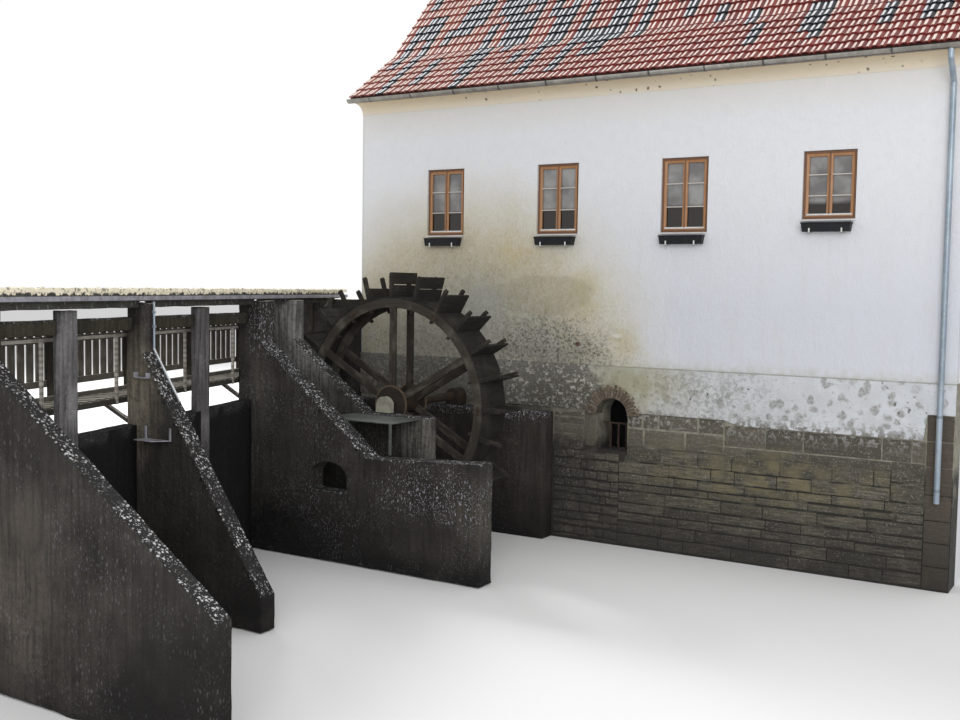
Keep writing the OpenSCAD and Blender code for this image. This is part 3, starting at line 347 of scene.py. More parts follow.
sickle = plus(blot(-0.65, 4.50, 0.42, 0.60, 0.8, 0.5, 3), blot(0.20, 3.65, 0.48, 0.46, 0.8, 0.5, 3))
paint((0.45, 0.385, 0.20), sickle, river, 0.5)
paint((0.27, 0.245, 0.165), blot(-1.5, 4.47, 1.08, 0.42, 0.12, 0.45, 2.2), river, 0.36)
paint((0.29, 0.30, 0.28), blot(-2.78, 4.2, 0.60, 0.55, 0.5, 0.4, 2.2), river, 0.6)
paint((0.50, 0.49, 0.45), cloud(8, 0.50, 0.60, 7, rough=0.7), below(3.0, 5.4), ring, 0.45)
crusted = times(blot(-1.35, 3.35, 1.45, 0.85, 0.75, 0.55, 3), river)
low = plus(times(below(3.3, 4.9), ring, 0.5), crusted)
paint((0.23, 0.225, 0.195), crusted, 0.55)
paint((0.12, 0.115, 0.095), crusted, below(LEDGE_Z, 3.75), 0.5)
black = times(cloud(17, 0.53, 0.59, 7, (1, 1, 1.1), 0.75), low)
paint((0.060, 0.055, 0.045), black, 0.72)
white = times(cloud(15, 0.57, 0.62, 7, (1.1, 1, 0.9), 0.75), low)
paint((0.47, 0.46, 0.42), white, 0.7)
paint((0.60, 0.58, 0.52), blot(0.03, 3.78, 0.11, 0.045, 0.3, 0.5, 9))
paint((0.085, 0.04, 0.03), blot(-0.75, 3.60, 0.06, 0.045, 0.3, 0.3, 20))
# Painted light: a warm band under the eaves, as light thrown back from the eaves onto the river wall.
paint((0.63, 0.585, 0.50), above(7.45, 8.15, 0.5), river)
paint((0.47, 0.45, 0.40), cloud(3.0, 0.5, 0.68, 6, (3, 3, 0.35)), below(3.2, 6.6, 1.0, 0.15), 0.15)
paint((0.42, 0.41, 0.32), below(LEDGE_Z, 3.42), cloud(7, 0.35, 0.6), river, 0.55)
white_render = done((cloud(1.2, 0.3, 0.7), 0.012), (stroke, 0.003), (cloud(55, 0.3, 0.8, 2), 0.0025),
                    (times(plus(black, white), river), 0.008))
wear(white_render, "front_wall", "back_wall", "upstream_gable", "downstream_gable")
print("white render on four walls")

# %% [markdown]
# ## Tools for modelling by hand
#
# In Blender a piece grows from a primitive: faces or edges are selected, then extruded, inset or
# bevelled. In a script the selection is made by a test on places or normals instead of with the
# mouse. These helpers start each piece from a clean selection, so no operator acts on the solids.

# %% Helpers for modelling
def leave():
    bpy.ops.object.mode_set(mode="OBJECT")


def clear():
    """Nothing selected, object mode."""
    if bpy.context.object and bpy.context.object.mode != "OBJECT":
        leave()
    bpy.ops.object.select_all(action="DESELECT")


def only(*pieces):
    """Selects the pieces and makes the first of them active."""
    clear()
    for piece in pieces:
        piece.select_set(True)
    bpy.context.view_layer.objects.active = pieces[0]


def fresh(name=None, scale=None):
    """The primitive that was just added, with its place, turn and size moved into its mesh."""
    piece = bpy.context.object
    piece.name = name or piece.name
    piece.scale = scale or piece.scale
    only(piece)
    bpy.ops.object.transform_apply(location=True, rotation=True, scale=True)
    return piece


def box(low, high, name):
    """A cube primitive between two corners."""
    low, high = Vector(low), Vector(high)
    clear()
    bpy.ops.mesh.primitive_cube_add(size=1, location=(low + high) / 2, scale=high - low)
    return fresh(name)


def whole(*parts):
    return True


def pick(piece, test=whole, kind="FACE"):
    """Selects in edit mode the faces whose centre and normal, or the edges or corners whose place, pass."""
    only(piece)
    bpy.ops.object.mode_set(mode="EDIT")
    bpy.ops.mesh.select_mode(type=kind)
    bpy.ops.mesh.select_all(action="DESELECT")
    leave()
    mesh = piece.data
    if kind == "FACE":
        for face in mesh.polygons:
            face.select = bool(test(face.center, face.normal))
    elif kind == "EDGE":
        for line in mesh.edges:
            line.select = bool(test(*(mesh.vertices[i].co for i in line.vertices)))
    else:
        for vertex in mesh.vertices:
            vertex.select = bool(test(vertex.co))
    bpy.ops.object.mode_set(mode="EDIT")


def extrude(*step):
    bpy.ops.mesh.extrude_region_move(TRANSFORM_OT_translate={"value": step})


def weld(piece):
    """Merges the corners of a solid that lie on one another. It stays in edit mode."""
    pick(piece)
    bpy.ops.mesh.remove_doubles(threshold=0.0001)


def outward(piece):
    """Turns all faces outwards."""
    pick(piece)
    bpy.ops.mesh.normals_make_consistent(inside=False)
    leave()


def bevel(piece, width, segments=1, angle=35):
    """Rounds the sharp edges with a modifier, and applies it."""
    only(piece)
    tool = piece.modifiers.new("bevel", "BEVEL")
    tool.width, tool.segments, tool.angle_limit = width, segments, math.radians(angle)
    bpy.ops.object.modifier_apply(modifier=tool.name)
    return piece


def copy(piece, offset=(0, 0, 0), turn=None, about=(0, 0, 0)):
    """A copy with its own mesh, turned about a point and then moved."""
    made = piece.copy()
    made.data = piece.data.copy()
    bpy.context.scene.collection.objects.link(made)
    about = Matrix.Translation(Vector(about))
    turned = about @ (turn or Matrix.Identity(4)) @ about.inverted()
    made.data.transform(Matrix.Translation(Vector(offset)) @ turned)
    return made


def solid_copy(node, name):
    """A shown copy of a CAD node under a new name, without its finish and its keys."""
    made = copy(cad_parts[node])
    for key in list(made.keys()):
        del made[key]
    made.data.materials.clear()
    made.hide_render = made.hide_viewport = False
    made.name = made.data.name = name
    return made


def drop(*models):
    """Removes the models that were only there to be copied."""
    for model in models:
        bpy.data.objects.remove(model)


def join(pieces, name):
    """Joins pieces to one object under a name."""
    only(*pieces)
    if len(pieces) > 1:
        bpy.ops.object.join()
    piece = bpy.context.object
    piece.name = piece.data.name = name
    return piece


def note(piece, name, values, domain="FACE"):
    """Writes a row of numbers on the faces or corners of a piece, for its finish to read."""
    layer = piece.data.attributes.get(name) or piece.data.attributes.new(name, "FLOAT", domain)
    layer.data.foreach_set("value", values)


def mark(piece, value, name="tone"):
    """Writes one number on all faces of a piece."""
    note(piece, name, [value] * len(piece.data.polygons))
    return piece


def finish(piece, look, stands_for=(), smooth=None, body="mill"):
    """Gives a piece its finish and its body, and hides what it replaces."""
    piece.data.materials.clear()
    piece.data.materials.append(look)
    if smooth:
        only(piece)
        bpy.ops.object.shade_smooth_by_angle(angle=math.radians(smooth))
    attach(piece, body)
    if stands_for:
        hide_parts(*stands_for)
    clear()
    print(piece.name, "has", sum(len(face.vertices) - 2 for face in piece.data.polygons), "triangles")


chance = random.Random(7)
print("helpers for modelling are ready")

# %% [markdown]
# ## Roof tiles
#
# The roof is laid with clay interlocking tiles. Each tile has a narrow rib that covers the joint and
# one broad roll down its middle. One edge, as long as the tile, is extruded step by step across the
# tile, along the cross-section; then the lower edge is pulled down to a lip. A row array and a slope
# array lay the courses, each course lapping over the one below.

# %% One roof tile
TILE = 0.2107
COLUMNS = round(2 * ROOF_HALF / TILE)
# The cross-section as (across, height, how much painted highlight).
ACROSS = [(0, 0, 0.2), (.012, .014, 1), (.03, .022, 1), (.048, .014, 0.8), (.06, .002, 0), (.075, 0, 0),
          (.092, .012, 0), (.118, .027, 1), (.145, .030, 1), (.172, .023, 0.1), (.196, .006, 0),
          (TILE, 0, 0)]
LIP = -0.6            # keeps the face under the lip dark, as a painted shade


def highlight_at(co):
    if 0.001 < co.y < 0.01:
        return LIP
    return min(ACROSS, key=lambda corner: abs(corner[0] - co.x))[2]


def roof_tile(length, lift=0.03):
    """A tile at the origin: x across, y up the slope, its lower end lifted to lap over the next."""
    clear()
    bpy.ops.mesh.primitive_plane_add(size=length, location=(length / 2, length / 2, 0))
    tile = fresh()
    pick(tile, lambda co: co.x > length / 2, "VERT")
    bpy.ops.mesh.delete(type="VERT")
    bpy.ops.mesh.select_mode(type="EDGE")
    bpy.ops.mesh.select_all(action="SELECT")
    for here, there in zip(ACROSS, ACROSS[1:]):
        step = (there[0] - here[0], 0, there[1] - here[1])
        bpy.ops.mesh.extrude_edges_move(TRANSFORM_OT_translate={"value": step})
    pick(tile, lambda co: co.y < 0.001, "VERT")
    bpy.ops.transform.translate(value=(0, 0, lift))
    pick(tile, lambda a, b: a.y < 0.001 and b.y < 0.001, "EDGE")
    bpy.ops.mesh.extrude_edges_move(TRANSFORM_OT_translate={"value": (0, 0.004, -0.030)})
    outward(tile)
    if sum(face.normal.z for face in tile.data.polygons) < 0:
        pick(tile)
        bpy.ops.mesh.flip_normals()
        leave()
    note(tile, "crown_highlight", [highlight_at(vertex.co) for vertex in tile.data.vertices], "POINT")
    note(tile, "along", [vertex.co.y / length for vertex in tile.data.vertices], "POINT")
    return tile


def lay(tile, name, low, slope, rows, gauge, first):
    """Lays rows of the tile up a slope from a point of its lower edge, and gives each tile a tone."""
    only(tile)
    for count, step in ((COLUMNS, (2 * ROOF_HALF / COLUMNS, 0, 0)), (rows, (0, gauge, 0))):
        tool = tile.modifiers.new("lay", "ARRAY")
        tool.count, tool.use_relative_offset, tool.use_constant_offset = count, False, True
        tool.constant_offset_displace = step
        bpy.ops.object.modifier_apply(modifier=tool.name)
    faces = len(tile.data.polygons) // (COLUMNS * rows)
    tones = []
    for row in range(rows):
        for column in range(COLUMNS):
            tones += [tile_tone(column, row + first)] * faces
    note(tile, "tone", tones)
    tile.data.transform(Matrix.Translation(low) @ Matrix.Rotation(slope, 4, "X"))
    tile.name = name
    return tile


# Whole runs of darker, glazed tiles are scattered over the slope: a run starts at a random place.
# Some more lie in the left half of the roof, which is darker in the photograph.
RUNS, LEFT_RUNS, LEFT_COLUMNS = 84, 40, 26
starts = {}
for run in range(RUNS + LEFT_RUNS):
    column = (run * 19 + chance.randrange(3)) % (COLUMNS if run < RUNS else LEFT_COLUMNS)
    starts[column, chance.randrange(4, 26)] = chance.randrange(2, 8)


def tile_tone(column, row):
    """0 to 0.7 for red tiles, 1 for a dark one."""
    if any(starts.get((column, row + back), 0) > back for back in range(9)):
        return 1.0
    return chance.uniform(0, 0.7)


flare_row = Matrix.Rotation(FLARE, 3, "X") @ Vector((0, 1, 0))
steep_row = Matrix.Rotation(PITCH, 3, "X") @ Vector((0, 1, 0))
edge = Vector((-ROOF_HALF, 0, 0))
low_tiles = lay(roof_tile(0.320), "low_tiles", edge + EAVES - 0.03 * flare_row, FLARE, 6, 0.287, 0)
high_tiles = lay(roof_tile(0.305), "high_tiles", edge + KNEE - 0.08 * steep_row, PITCH, 19, 0.271, 6)
river_tiles = join([low_tiles, high_tiles], "river_tiles")
back_tiles = copy(river_tiles, turn=Matrix.Rotation(math.pi, 4, "Z"), about=(0, RIDGE_Y, 0))
back_tiles.name = "back_tiles"
print("tiles:", len(river_tiles.data.polygons), "faces on each slope")

# %% [markdown]
# The clay is red, and each tile has its own tone, which the finish reads from the faces. The roof
# is drawn with strong contrast: ribs and rolls carry a painted highlight, nearly salmon, as a low
# sun would light them, while the pans between them are dark red, partly painted shade, and a painted
# shadow lies under the lip of the next course. So two numbers were written on the corners of a tile,
# how much highlight it takes across and its place along the slope, and the finish reads those.

# %% Clay finish and the tiles' place
begin("clay_tiles", 0.42, specular=0.45)
hue = ramp(tone(), 0.0, 0.7)
dark = ramp(tone(), 0.8, 0.9)
# The painted highlight's colour: pale salmon on red tiles, pale grey on the dark ones.
base(hue, (0.84, 0.66, 0.60), (0.88, 0.77, 0.71))
paint((0.86, 0.72, 0.58), cloud(3, 0.45, 0.65), 0.5)
paint((0.78, 0.80, 0.83), dark)
crown_highlight = colour
left_end = axis("X"), -5.6, -0.5
paler_upstream_pans = times(ramp(*left_end, 0.30, 0.0), fall(axis("Y"), 3.9, 4.1))
# The body of the tile is dark red: the clay's colour, and in the pans a painted shade as well.
base(hue, (0.125, 0.016, 0.014), (0.225, 0.034, 0.024))
paint((0.011, 0.012, 0.018), dark)
# The pans are made lighter towards the upstream end of the river slope, except on dark tiles.
paint((0.42, 0.17, 0.13), paler_upstream_pans, less(dark))
# Painted highlight on ribs and rolls, wider towards the upstream end and patchy. It fades out near the top
# of each tile, as a painted shadow under the next course's lip.
rubbed_and_highlight = ramp(plus(tone("crown_highlight"), ramp(*left_end, 0.12, 0.0)), 0.52, 0.70)
patchy = ramp(cloud(9, 0.2, 0.5), 0, 1, 0.55, 1.0)
paint(crown_highlight, rubbed_and_highlight, fall(tone("along"), 0.66, 0.75), patchy)
clay_tiles = done((cloud(60, 0.3, 0.8, 3), 0.0015))
finish(river_tiles, clay_tiles, smooth=50)
finish(back_tiles, clay_tiles, smooth=50)

# %% [markdown]
# Seen from the river the tiles end only a hand's breadth beyond the gable. The slabs and gutters of
# the solids are a little longer, so each is copied and cut by an upright plane at either end.

# %% Roof slabs and gutters, cut to the tiles' length
def trimmed(node, name):
    """A copy of a solid without what lies beyond the last tile."""
    piece = solid_copy(node, name)
    weld(piece)
    for end in (-1, 1):
        bpy.ops.mesh.select_all(action="SELECT")
        bpy.ops.mesh.bisect(plane_co=(end * ROOF_HALF, 0, 0), plane_no=(end, 0, 0), use_fill=True,
                            clear_outer=True)
    leave()
    return piece


tile_underlay = mottled("tile_underlay", (0.9,), (5, 0.4, 0.6), (0.060, 0.022, 0.018), (0.035, 0.018, 0.016),
                        (40, 0.002))
for node, name in (("river_roof", "river_slab"), ("back_roof", "back_slab")):
    finish(trimmed(node, name), tile_underlay, [node])

# %% [markdown]
# ## Windows
#
# The solids give a fixed frame and one sheet of glass a casement. What is missing is the casement
# itself: stiles and rails round the glass, and two thin bars that part it in three panes. A grid of
# one by three faces is the quickest start: an inset of the whole grid leaves the frame, an inset of
# each face leaves the bars, and what is left in the middle is taken out. The two casements meet in
# the middle behind a narrow cover strip, so the fixed frame is drawn anew as a slimmer ring.

# %% One casement and its frame
SASH_W = 0.378
SASH_LESS = 0.092     # how much shorter a casement is than its window


def open_frame(rows, width, height, x, y, stile, depth):
    """An upright frame with an opening for each row, towards -Y, its lower middle at a place."""
    clear()
    bpy.ops.mesh.primitive_grid_add(x_subdivisions=1, y_subdivisions=rows, size=1,
                                    rotation=(math.pi / 2, 0, 0), location=(x, y, height / 2))
    made = fresh(scale=(width, height, 1))
    pick(made)
    bpy.ops.mesh.inset(thickness=stile, use_individual=False)
    if rows > 1:
        bpy.ops.mesh.inset(thickness=0.009, use_individual=True)
    bpy.ops.mesh.delete(type="FACE")
    bpy.ops.mesh.select_all(action="SELECT")
    extrude(0, depth, 0)
    outward(made)
    return made


def casement(height):
    """A casement with three panes, its lower left corner at the origin."""
    def in_panes(co):
        return 0.05 < co.z < height - 0.05

    sash = open_frame(3, SASH_W, height, SASH_W / 2, 0, 0.036, 0.034)
    pick(sash, lambda co, normal: 0.04 < co.x < SASH_W - 0.04 and in_panes(co) and normal.y < -0.9)
    bpy.ops.transform.translate(value=(0, 0.010, 0))
    bevel(sash, 0.003, 2)
    note(sash, "bar", [0.05 < face.center.x < SASH_W - 0.05 and in_panes(face.center)
                       for face in sash.data.polygons])
    return sash


def fixed_frame(height):
    """The ring the casements hang in, with a narrow post behind their meeting."""
    ring = bevel(open_frame(1, WIN_W, height, 0, -0.255, 0.045, 0.08), 0.004, 2)
    post = bevel(box((-0.036, -0.229, 0.04), (0.036, -0.180, height - 0.04), "post"), 0.002)
    cover = bevel(box((-0.011, -0.272, 0.085), (0.011, -0.258, height - 0.047), "cover"), 0.004, 2)
    return join([ring, post, cover], "ring")


def weather_rail():
    """The white drip strip along the foot of both casements."""
    strip = box((-0.36, -0.268, 0.066), (0.36, -0.255, 0.094), "strip")
    pick(strip, lambda co, normal: normal.y < -0.9)
    bpy.ops.mesh.bevel(offset=0.004, segments=2)
    leave()
    return strip


def gable(end):
    return Matrix.Translation((end * HALF_L, RIDGE_Y, 0)) @ Matrix.Rotation(end * math.pi / 2, 4, "Z")


# A window's place is its wall's matrix, the place in that wall, and its height.
places = [(Matrix.Identity(4), x, 0, height) for x, height in zip(WIN_X, WIN_HEIGHTS)]
places += [(Matrix.Rotation(math.pi, 4, "Z"), x, -2 * RIDGE_Y, WIN_H) for x in WIN_X]
places += [(gable(end), x, -FACE_Y, WIN_H) for end in (-1, 1) for x in (-1.8375, 1.8375)]
models = {}
for height in (WIN_H, WIN_SHORT):
    left = casement(height - SASH_LESS)
    left.data.transform(Matrix.Translation((-0.379, -0.2635, 0.046)))
    models[height] = (join([left, copy(left, (0.380, 0, 0))], "pair"), weather_rail(), fixed_frame(height))
rows = [], [], []
for wall, x, y, height in places:
    for model, row in zip(models[height], rows):
        row.append(copy(model, turn=wall @ Matrix.Translation((x, y, WIN_TOP - height))))
drop(*models[WIN_H], *models[WIN_SHORT])
casements, drip_strips, fixed_frames = (join(row, name) for row, name in zip(
    rows, ("casements", "drip_strips", "fixed_frames")))
print("casement pairs:", len(places))

# %% [markdown]
# The wood is glazed a warm brown. Its grain runs up the stiles, fine and a little wavy, so the noise
# is squeezed sideways. The glass is one thin sheet in each casement, painted with a reflection: a
# mottled grey, and nearly black in the lowest pane.

# %% Window finishes
GRAIN = (18, 0.35, 0.65, 6, (3, 3, 0.25))
begin("brown_window_wood", 0.45)
grain = cloud(*GRAIN)
base(grain, (0.36, 0.175, 0.072), (0.27, 0.125, 0.050))
paint((0.42, 0.22, 0.10), cloud(4, 0.5, 0.7), 0.35)
paint((0.50, 0.46, 0.42), tone("bar"))
finish(casements, done((grain, 0.0008)))
# Painted shade: the fixed frame is the casements' wood at about half the lightness, for the shade in the
# reveal.
begin("frame_wood", 0.5)
grain = cloud(*GRAIN)
base(grain, (0.17, 0.078, 0.036), (0.115, 0.053, 0.027))
finish(fixed_frames, done((grain, 0.0008)), ["window_frames"])

begin("white_sheet", 0.5)
base(times(cloud(6, 0.45, 0.7), 0.5), (0.62, 0.62, 0.61), (0.34, 0.33, 0.30))
white_sheet = done((cloud(30, 0.3, 0.7), 0.0006))
finish(drip_strips, white_sheet)
wear(white_sheet, "window_sills")

begin("window_glass", 0.06)
see(shader, "IOR", 1.5)
# Painted reflection: a mottled grey, nearly black in the lowest pane.
base(cloud(2.2, 0.40, 0.62), (0.135, 0.13, 0.13), (0.27, 0.27, 0.265))
paint((0.016, 0.012, 0.009), below(6.02, 6.09))
wear(done((cloud(1.3, 0.2, 0.8, 2), 0.002)), "window_glass")

# %% [markdown]
# Under each river window hangs a black trough. A plastic trough tapers to its foot, has a rolled rim
# and holds soil. It starts as a box with a smaller foot: the top face grows outwards and up for the
# rim, is inset, and sinks to the soil. Two white hooks under it reach up its front and hold it.

# %% Flower troughs
def trough():
    """A tapered trough, the middle of its top edge's back at the origin."""
    body = box((-0.392, -0.143, -0.15), (0.392, -0.007, -0.022), "trough")
    pick(body, lambda co, normal: normal.z < -0.9)
    bpy.ops.transform.resize(value=(0.96, 0.86, 1))
    pick(body, lambda co, normal: normal.z > 0.9)
    extrude(0, 0, 0)
    bpy.ops.transform.resize(value=(0.4 / 0.392, 0.15 / 0.136, 1))
    extrude(0, 0, 0.022)
    bpy.ops.mesh.inset(thickness=0.010)
    extrude(0, 0, -0.030)
    return bevel(body, 0.004, 2)


troughs, pegs = [], []
first = trough()
peg = join([box((-0.0125, -0.154, -0.175), (0.0125, 0.012, -0.163), "peg"),
            box((-0.0125, -0.154, -0.175), (0.0125, -0.145, -0.095), "hook")], "peg")
for x, height in zip(WIN_X, WIN_HEIGHTS):
    sill = Vector((x, FACE_Y - 0.012, WIN_TOP - height - 0.052))
    troughs.append(copy(first, sill))
    pegs += [copy(peg, sill + Vector((side * 0.256, 0, 0))) for side in (-1, 1)]
drop(first, peg)
flower_troughs = join(troughs, "flower_troughs")
trough_pegs = bevel(join(pegs, "trough_pegs"), 0.003)
begin("black_plastic", 0.5, specular=0.25)
base(times(cloud(14, 0.45, 0.7), 0.5), (0.006, 0.007, 0.010), (0.022, 0.021, 0.021))
finish(flower_troughs, done((cells(60), 0.002)), ["flower_boxes"])
finish(trough_pegs, white_sheet)

# %% [markdown]
# ## Stone base
#
# Below the render the river wall is bare sandstone. Under the wall's middle the blocks are squared,
# with wide joints of pale mortar. To the right they are longer, and lower down they turn to thin
# split layers. A tall stone stands at the corner, and left of the opening the wall is rubble. The
# solid stays as the bed of mortar, and each stone is a thin bevelled slab on its face, so that the
# joints lie back. The joints of the upper courses are those that can be counted on the real wall.

# %% Stones of the river wall
BED_Y = -0.285
ARCH_X = -0.035
ARCH_HALF = 0.305
ARCH_Z = 2.35


def stone(x0, x1, z0, z1, joint=0.014, edge=0.012, wild=0.003):
    """One slab on the bed of mortar, with worn edges and a slightly hollow or proud face."""
    half = joint / 2
    slab = box((x0 + half, FACE_Y, z0 + half), (x1 - half, BED_Y + 0.006, z1 - half), "stone")
    pick(slab, lambda co, normal: normal.y < -0.9)
    bpy.ops.mesh.subdivide(number_cuts=2)
    bpy.ops.transform.vertex_random(offset=wild, seed=chance.randrange(9999))
    bevel(slab, min(edge, (z1 - z0) / 6), 2)
    return mark(slab, chance.random())


def course(x0, x1, z0, z1, shortest, longest, tilt=0.012, **look):
    """A row of stones between two ends, each of its own length."""
    row, x = [], x0
    while x < x1 - 0.01:
        width = chance.uniform(shortest, longest)
        if x1 - x - width < shortest * 0.7:
            width = x1 - x
        row.append(stone(x, x + width, z0 + chance.uniform(0, tilt), z1 - chance.uniform(0, tilt), **look))
        x += width
    return row


def joints_at(places, z0, z1, **look):
    """A row of stones with its upright joints at known places."""
    return [stone(x0, x1, z0, z1, **look) for x0, x1 in zip(places, places[1:])]


wide = {"joint": 0.042, "edge": 0.016}
stones = joints_at([0.27, 0.56, 0.86, 1.59, 2.06], 2.15, 2.42, **wide)
stones += joints_at([0.27, 0.59, 1.36, 2.06], 1.81, 2.15, **wide)
stones += joints_at([2.06, 2.77, 3.40, 4.64, 5.09, 5.30], 1.97, 2.325, joint=0.020)
stones += course(2.06, 4.79, 1.81, 1.97, 0.35, 1.3) + [stone(4.79, 5.30, 1.64, 1.97, edge=0.02)]
stones += joints_at([0.27, 0.9, 1.6, 2.2, 3.03, 3.88, 4.53, 4.79], 1.55, 1.81, wild=0.006, edge=0.022)
stones += course(0.12, 4.79, 1.33, 1.55, 0.4, 1.0, 0.02, wild=0.006)
stones += course(4.79, 5.30, 1.33, 1.64, 0.3, 0.5)
layers = [1.33, 1.16, 1.02, 0.80, 0.62, 0.46, 0.24, 0.02]
for top_z, low_z in zip(layers, layers[1:]):
    stones += course(0.12, 5.30, low_z, top_z, 0.35, 1.1, 0.02, wild=0.006, edge=0.02)
corner = [2.74, 2.33, 1.93, 1.50, 1.10, 0.75, 0.38, 0.02]
for top_z, low_z in zip(corner, corner[1:]):
    stones.append(stone(5.30, 5.695, low_z, top_z))
stones.append(stone(-0.58, -0.345, 1.76, 2.40, joint=0.006, edge=0.03))
top_z = 2.36
while top_z > 0.05:
    low_z = max(0.02, top_z - chance.uniform(0.10, 0.19))
    right = 0.12 if top_z < 1.68 else -0.59
    stones += course(-1.19, right, low_z, top_z, 0.12, 0.36, 0.025, wild=0.012, edge=0.025)
    top_z = low_z
river_stones = join(stones, "river_stones")
print("stones:", len(stones), "with", len(river_stones.data.polygons), "faces")

# %% [markdown]
# Sandstone is laid down in thin beds, and weather opens them: fine level lines run along each block,
# darker and lighter. Each block has its own tone. Lichen puts yellowish patches on the middle
# courses, crumbs of lime hang on the upper ones, algae blacken the foot and the part by the wheel.

# %% Sandstone and its mortar
begin("sandstone", 0.92)
beds = cloud(12, 0.38, 0.62, 7, (0.30, 1, 3.6), 0.65)
base(tone(), (0.085, 0.076, 0.062), (0.185, 0.163, 0.125))
paint((0.048, 0.043, 0.036), beds, below(1.7, 2.0, 1.0, 0.45))
paint((0.27, 0.255, 0.22), cloud(38, 0.56, 0.66, 4), 0.7)
paint((0.20, 0.175, 0.095), blot(2.6, 1.45, 3.0, 0.7, 0.8, 0.8), cloud(4, 0.38, 0.6), 0.75)
corner_stone = ramp(axis("X"), 5.28, 5.31)
paint((0.085, 0.068, 0.052), corner_stone, 0.8)
paint((0.44, 0.44, 0.42), above(2.05, 2.40), cloud(15, 0.52, 0.60, 6), less(corner_stone), 0.8)
paint((0.15, 0.135, 0.10), blot(-0.45, 2.1, 0.16, 0.42, 0.3, 0.3, 4), 0.8)
sooty = near((-1.3, FACE_Y, 1.4), (1.5, 1.5, 1.5), 0.7, 0.7)
paint((0.022, 0.020, 0.017), plus(below(0.15, 1.35), sooty), cloud(1.5, 0.1, 0.5), 0.75)
paint((0.19, 0.175, 0.15), cloud(26, 0.56, 0.64, 5), sooty, cloud(2, 0.4, 0.6), 0.8)
blocks = done((beds, 0.012), (cloud(70, 0.2, 0.8, 4), 0.004))
finish(river_stones, blocks, smooth=40)

begin("mortar", 0.95)
base(cloud(7, 0.35, 0.65), (0.30, 0.285, 0.23), (0.17, 0.155, 0.12))
paint((0.030, 0.027, 0.022), below(1.75, 1.95), cloud(3, 0.3, 0.5))
wet = plus(below(0.6, 1.9), near((-1.6, FACE_Y, 1.2), (2.2, 1.5, 2.2), 0.7, 0.7))
paint((0.020, 0.018, 0.015), wet, 0.9)
wear(done((cloud(35, 0.3, 0.7), 0.006)), "stone_base")

# %% [markdown]
# The opening is closed above by a half ring of thin bricks set on edge, each as long as a hand and a
# half. One brick is a bevelled box; copies are turned about the ring's centre, each with its own
# length and tone, so that their outer ends are ragged where the render has come off.

# %% Brick ring
BRICKS = 21
BRICK_HALF = 0.0175   # half a brick's thickness at its inner end
INNER = ARCH_Z + ARCH_HALF
bricks = []
for number in range(BRICKS):
    deep, long = chance.uniform(-0.003, 0.003), chance.uniform(0.19, 0.25)
    brick = box((ARCH_X - BRICK_HALF, -0.331 + deep, INNER + 0.001),
                (ARCH_X + BRICK_HALF, -0.29, INNER + long), "brick")
    bevel(brick, 0.006, 2)
    pick(brick, lambda co: co.z > INNER + 0.1, "VERT")
    bpy.ops.transform.resize(value=(chance.uniform(1.1, 1.35), 1, 1))
    bpy.ops.transform.vertex_random(offset=0.005, seed=number)
    leave()
    angle = math.radians(90 - (number + 0.5) * 180 / BRICKS)
    turned = copy(brick, turn=Matrix.Rotation(angle, 4, "Y"), about=(ARCH_X, 0, ARCH_Z))
    drop(brick)
    bricks.append(mark(turned, chance.random()))
brick_ring = join(bricks, "brick_ring")
begin("brick", 0.9)
base(tone(), (0.075, 0.052, 0.038), (0.155, 0.112, 0.080))
paint((0.21, 0.19, 0.145), cloud(11, 0.50, 0.62, 6), 0.6)
paint((0.045, 0.038, 0.032), cloud(24, 0.5, 0.64, 6), 0.5)
finish(brick_ring, done((cloud(45, 0.3, 0.7), 0.005)), smooth=40)
ring_mortar = mottled("ring_mortar", (0.95,), (20,), (0.125, 0.110, 0.080), (0.050, 0.043, 0.033),
                      (35, 0.004))
wear(ring_mortar, "brick_arch")

# %% [markdown]
# Between the ledge and the bare stone the render is thin, patched and pitted: round grey patches as
# large as a hand, small dark holes where it has come off, and near the wheel a skin of black and
# white crumbs. The patches are warped cells, so that none of them is a true circle.

# %% Pitted render
begin("grey_render", 0.93)
ragged_x = maths("ADD", axis("X"), ramp(cloud(3, 0.3, 0.7, 6), 0, 1, -0.35, 0.35))
colour = shades(ramp(ragged_x, -HALF_L, HALF_L), (0.0, (0.105, 0.105, 0.095)), (0.132, (0.12, 0.12, 0.112)),
                (0.307, (0.14, 0.132, 0.112)), (0.395, (0.18, 0.17, 0.14)), (0.456, (0.30, 0.29, 0.245)),
                (0.509, (0.42, 0.41, 0.355)), (0.570, (0.50, 0.50, 0.485)), (0.719, (0.55, 0.565, 0.59)),
                (1.0, (0.56, 0.58, 0.615)))
paint((0.26, 0.255, 0.20), above(3.216, 3.226), cloud(3, 0.25, 0.45), 0.75)
paint((0.30, 0.31, 0.31), less(cloud(3, 0.35, 0.65)), 0.25)
worn_skin = cloud(17, 0.46, 0.58, 7, rough=0.7)
paint((0.24, 0.245, 0.23), worn_skin, blot(1.3, 2.8, 2.2, 0.8, 0.8, 0.7), 0.75)
paint((0.20, 0.20, 0.185), cloud(26, 0.60, 0.65, 6, rough=0.7), below(2.4, 3.1, 1.0, 0.5), 0.6)
patch = times(fall(cells(5.0, warp=0.16), 0.26, 0.40), cloud(1.3, 0.40, 0.50))
rim = times(patch, cloud(22, 0.40, 0.60, 4))
paint((0.30, 0.295, 0.275), patch, 0.5)
paint((0.17, 0.17, 0.16), rim, 0.55)
hole = times(fall(cells(6.5, warp=0.22), 0.10, 0.20), cloud(2.0, 0.50, 0.56), cloud(30, 0.3, 0.5))
paint((0.075, 0.070, 0.060), hole, 0.9)
under = plus(ramp(axis("X"), 2.2, 2.4), below(2.44, 2.50))
paint((0.17, 0.16, 0.14), below(2.36, 2.56), cloud(14, 0.46, 0.56, 5), under, 0.9)
paint((0.31, 0.29, 0.17), blot(0.35, 2.95, 1.2, 0.55, 0.8, 0.8, 3), 0.65)
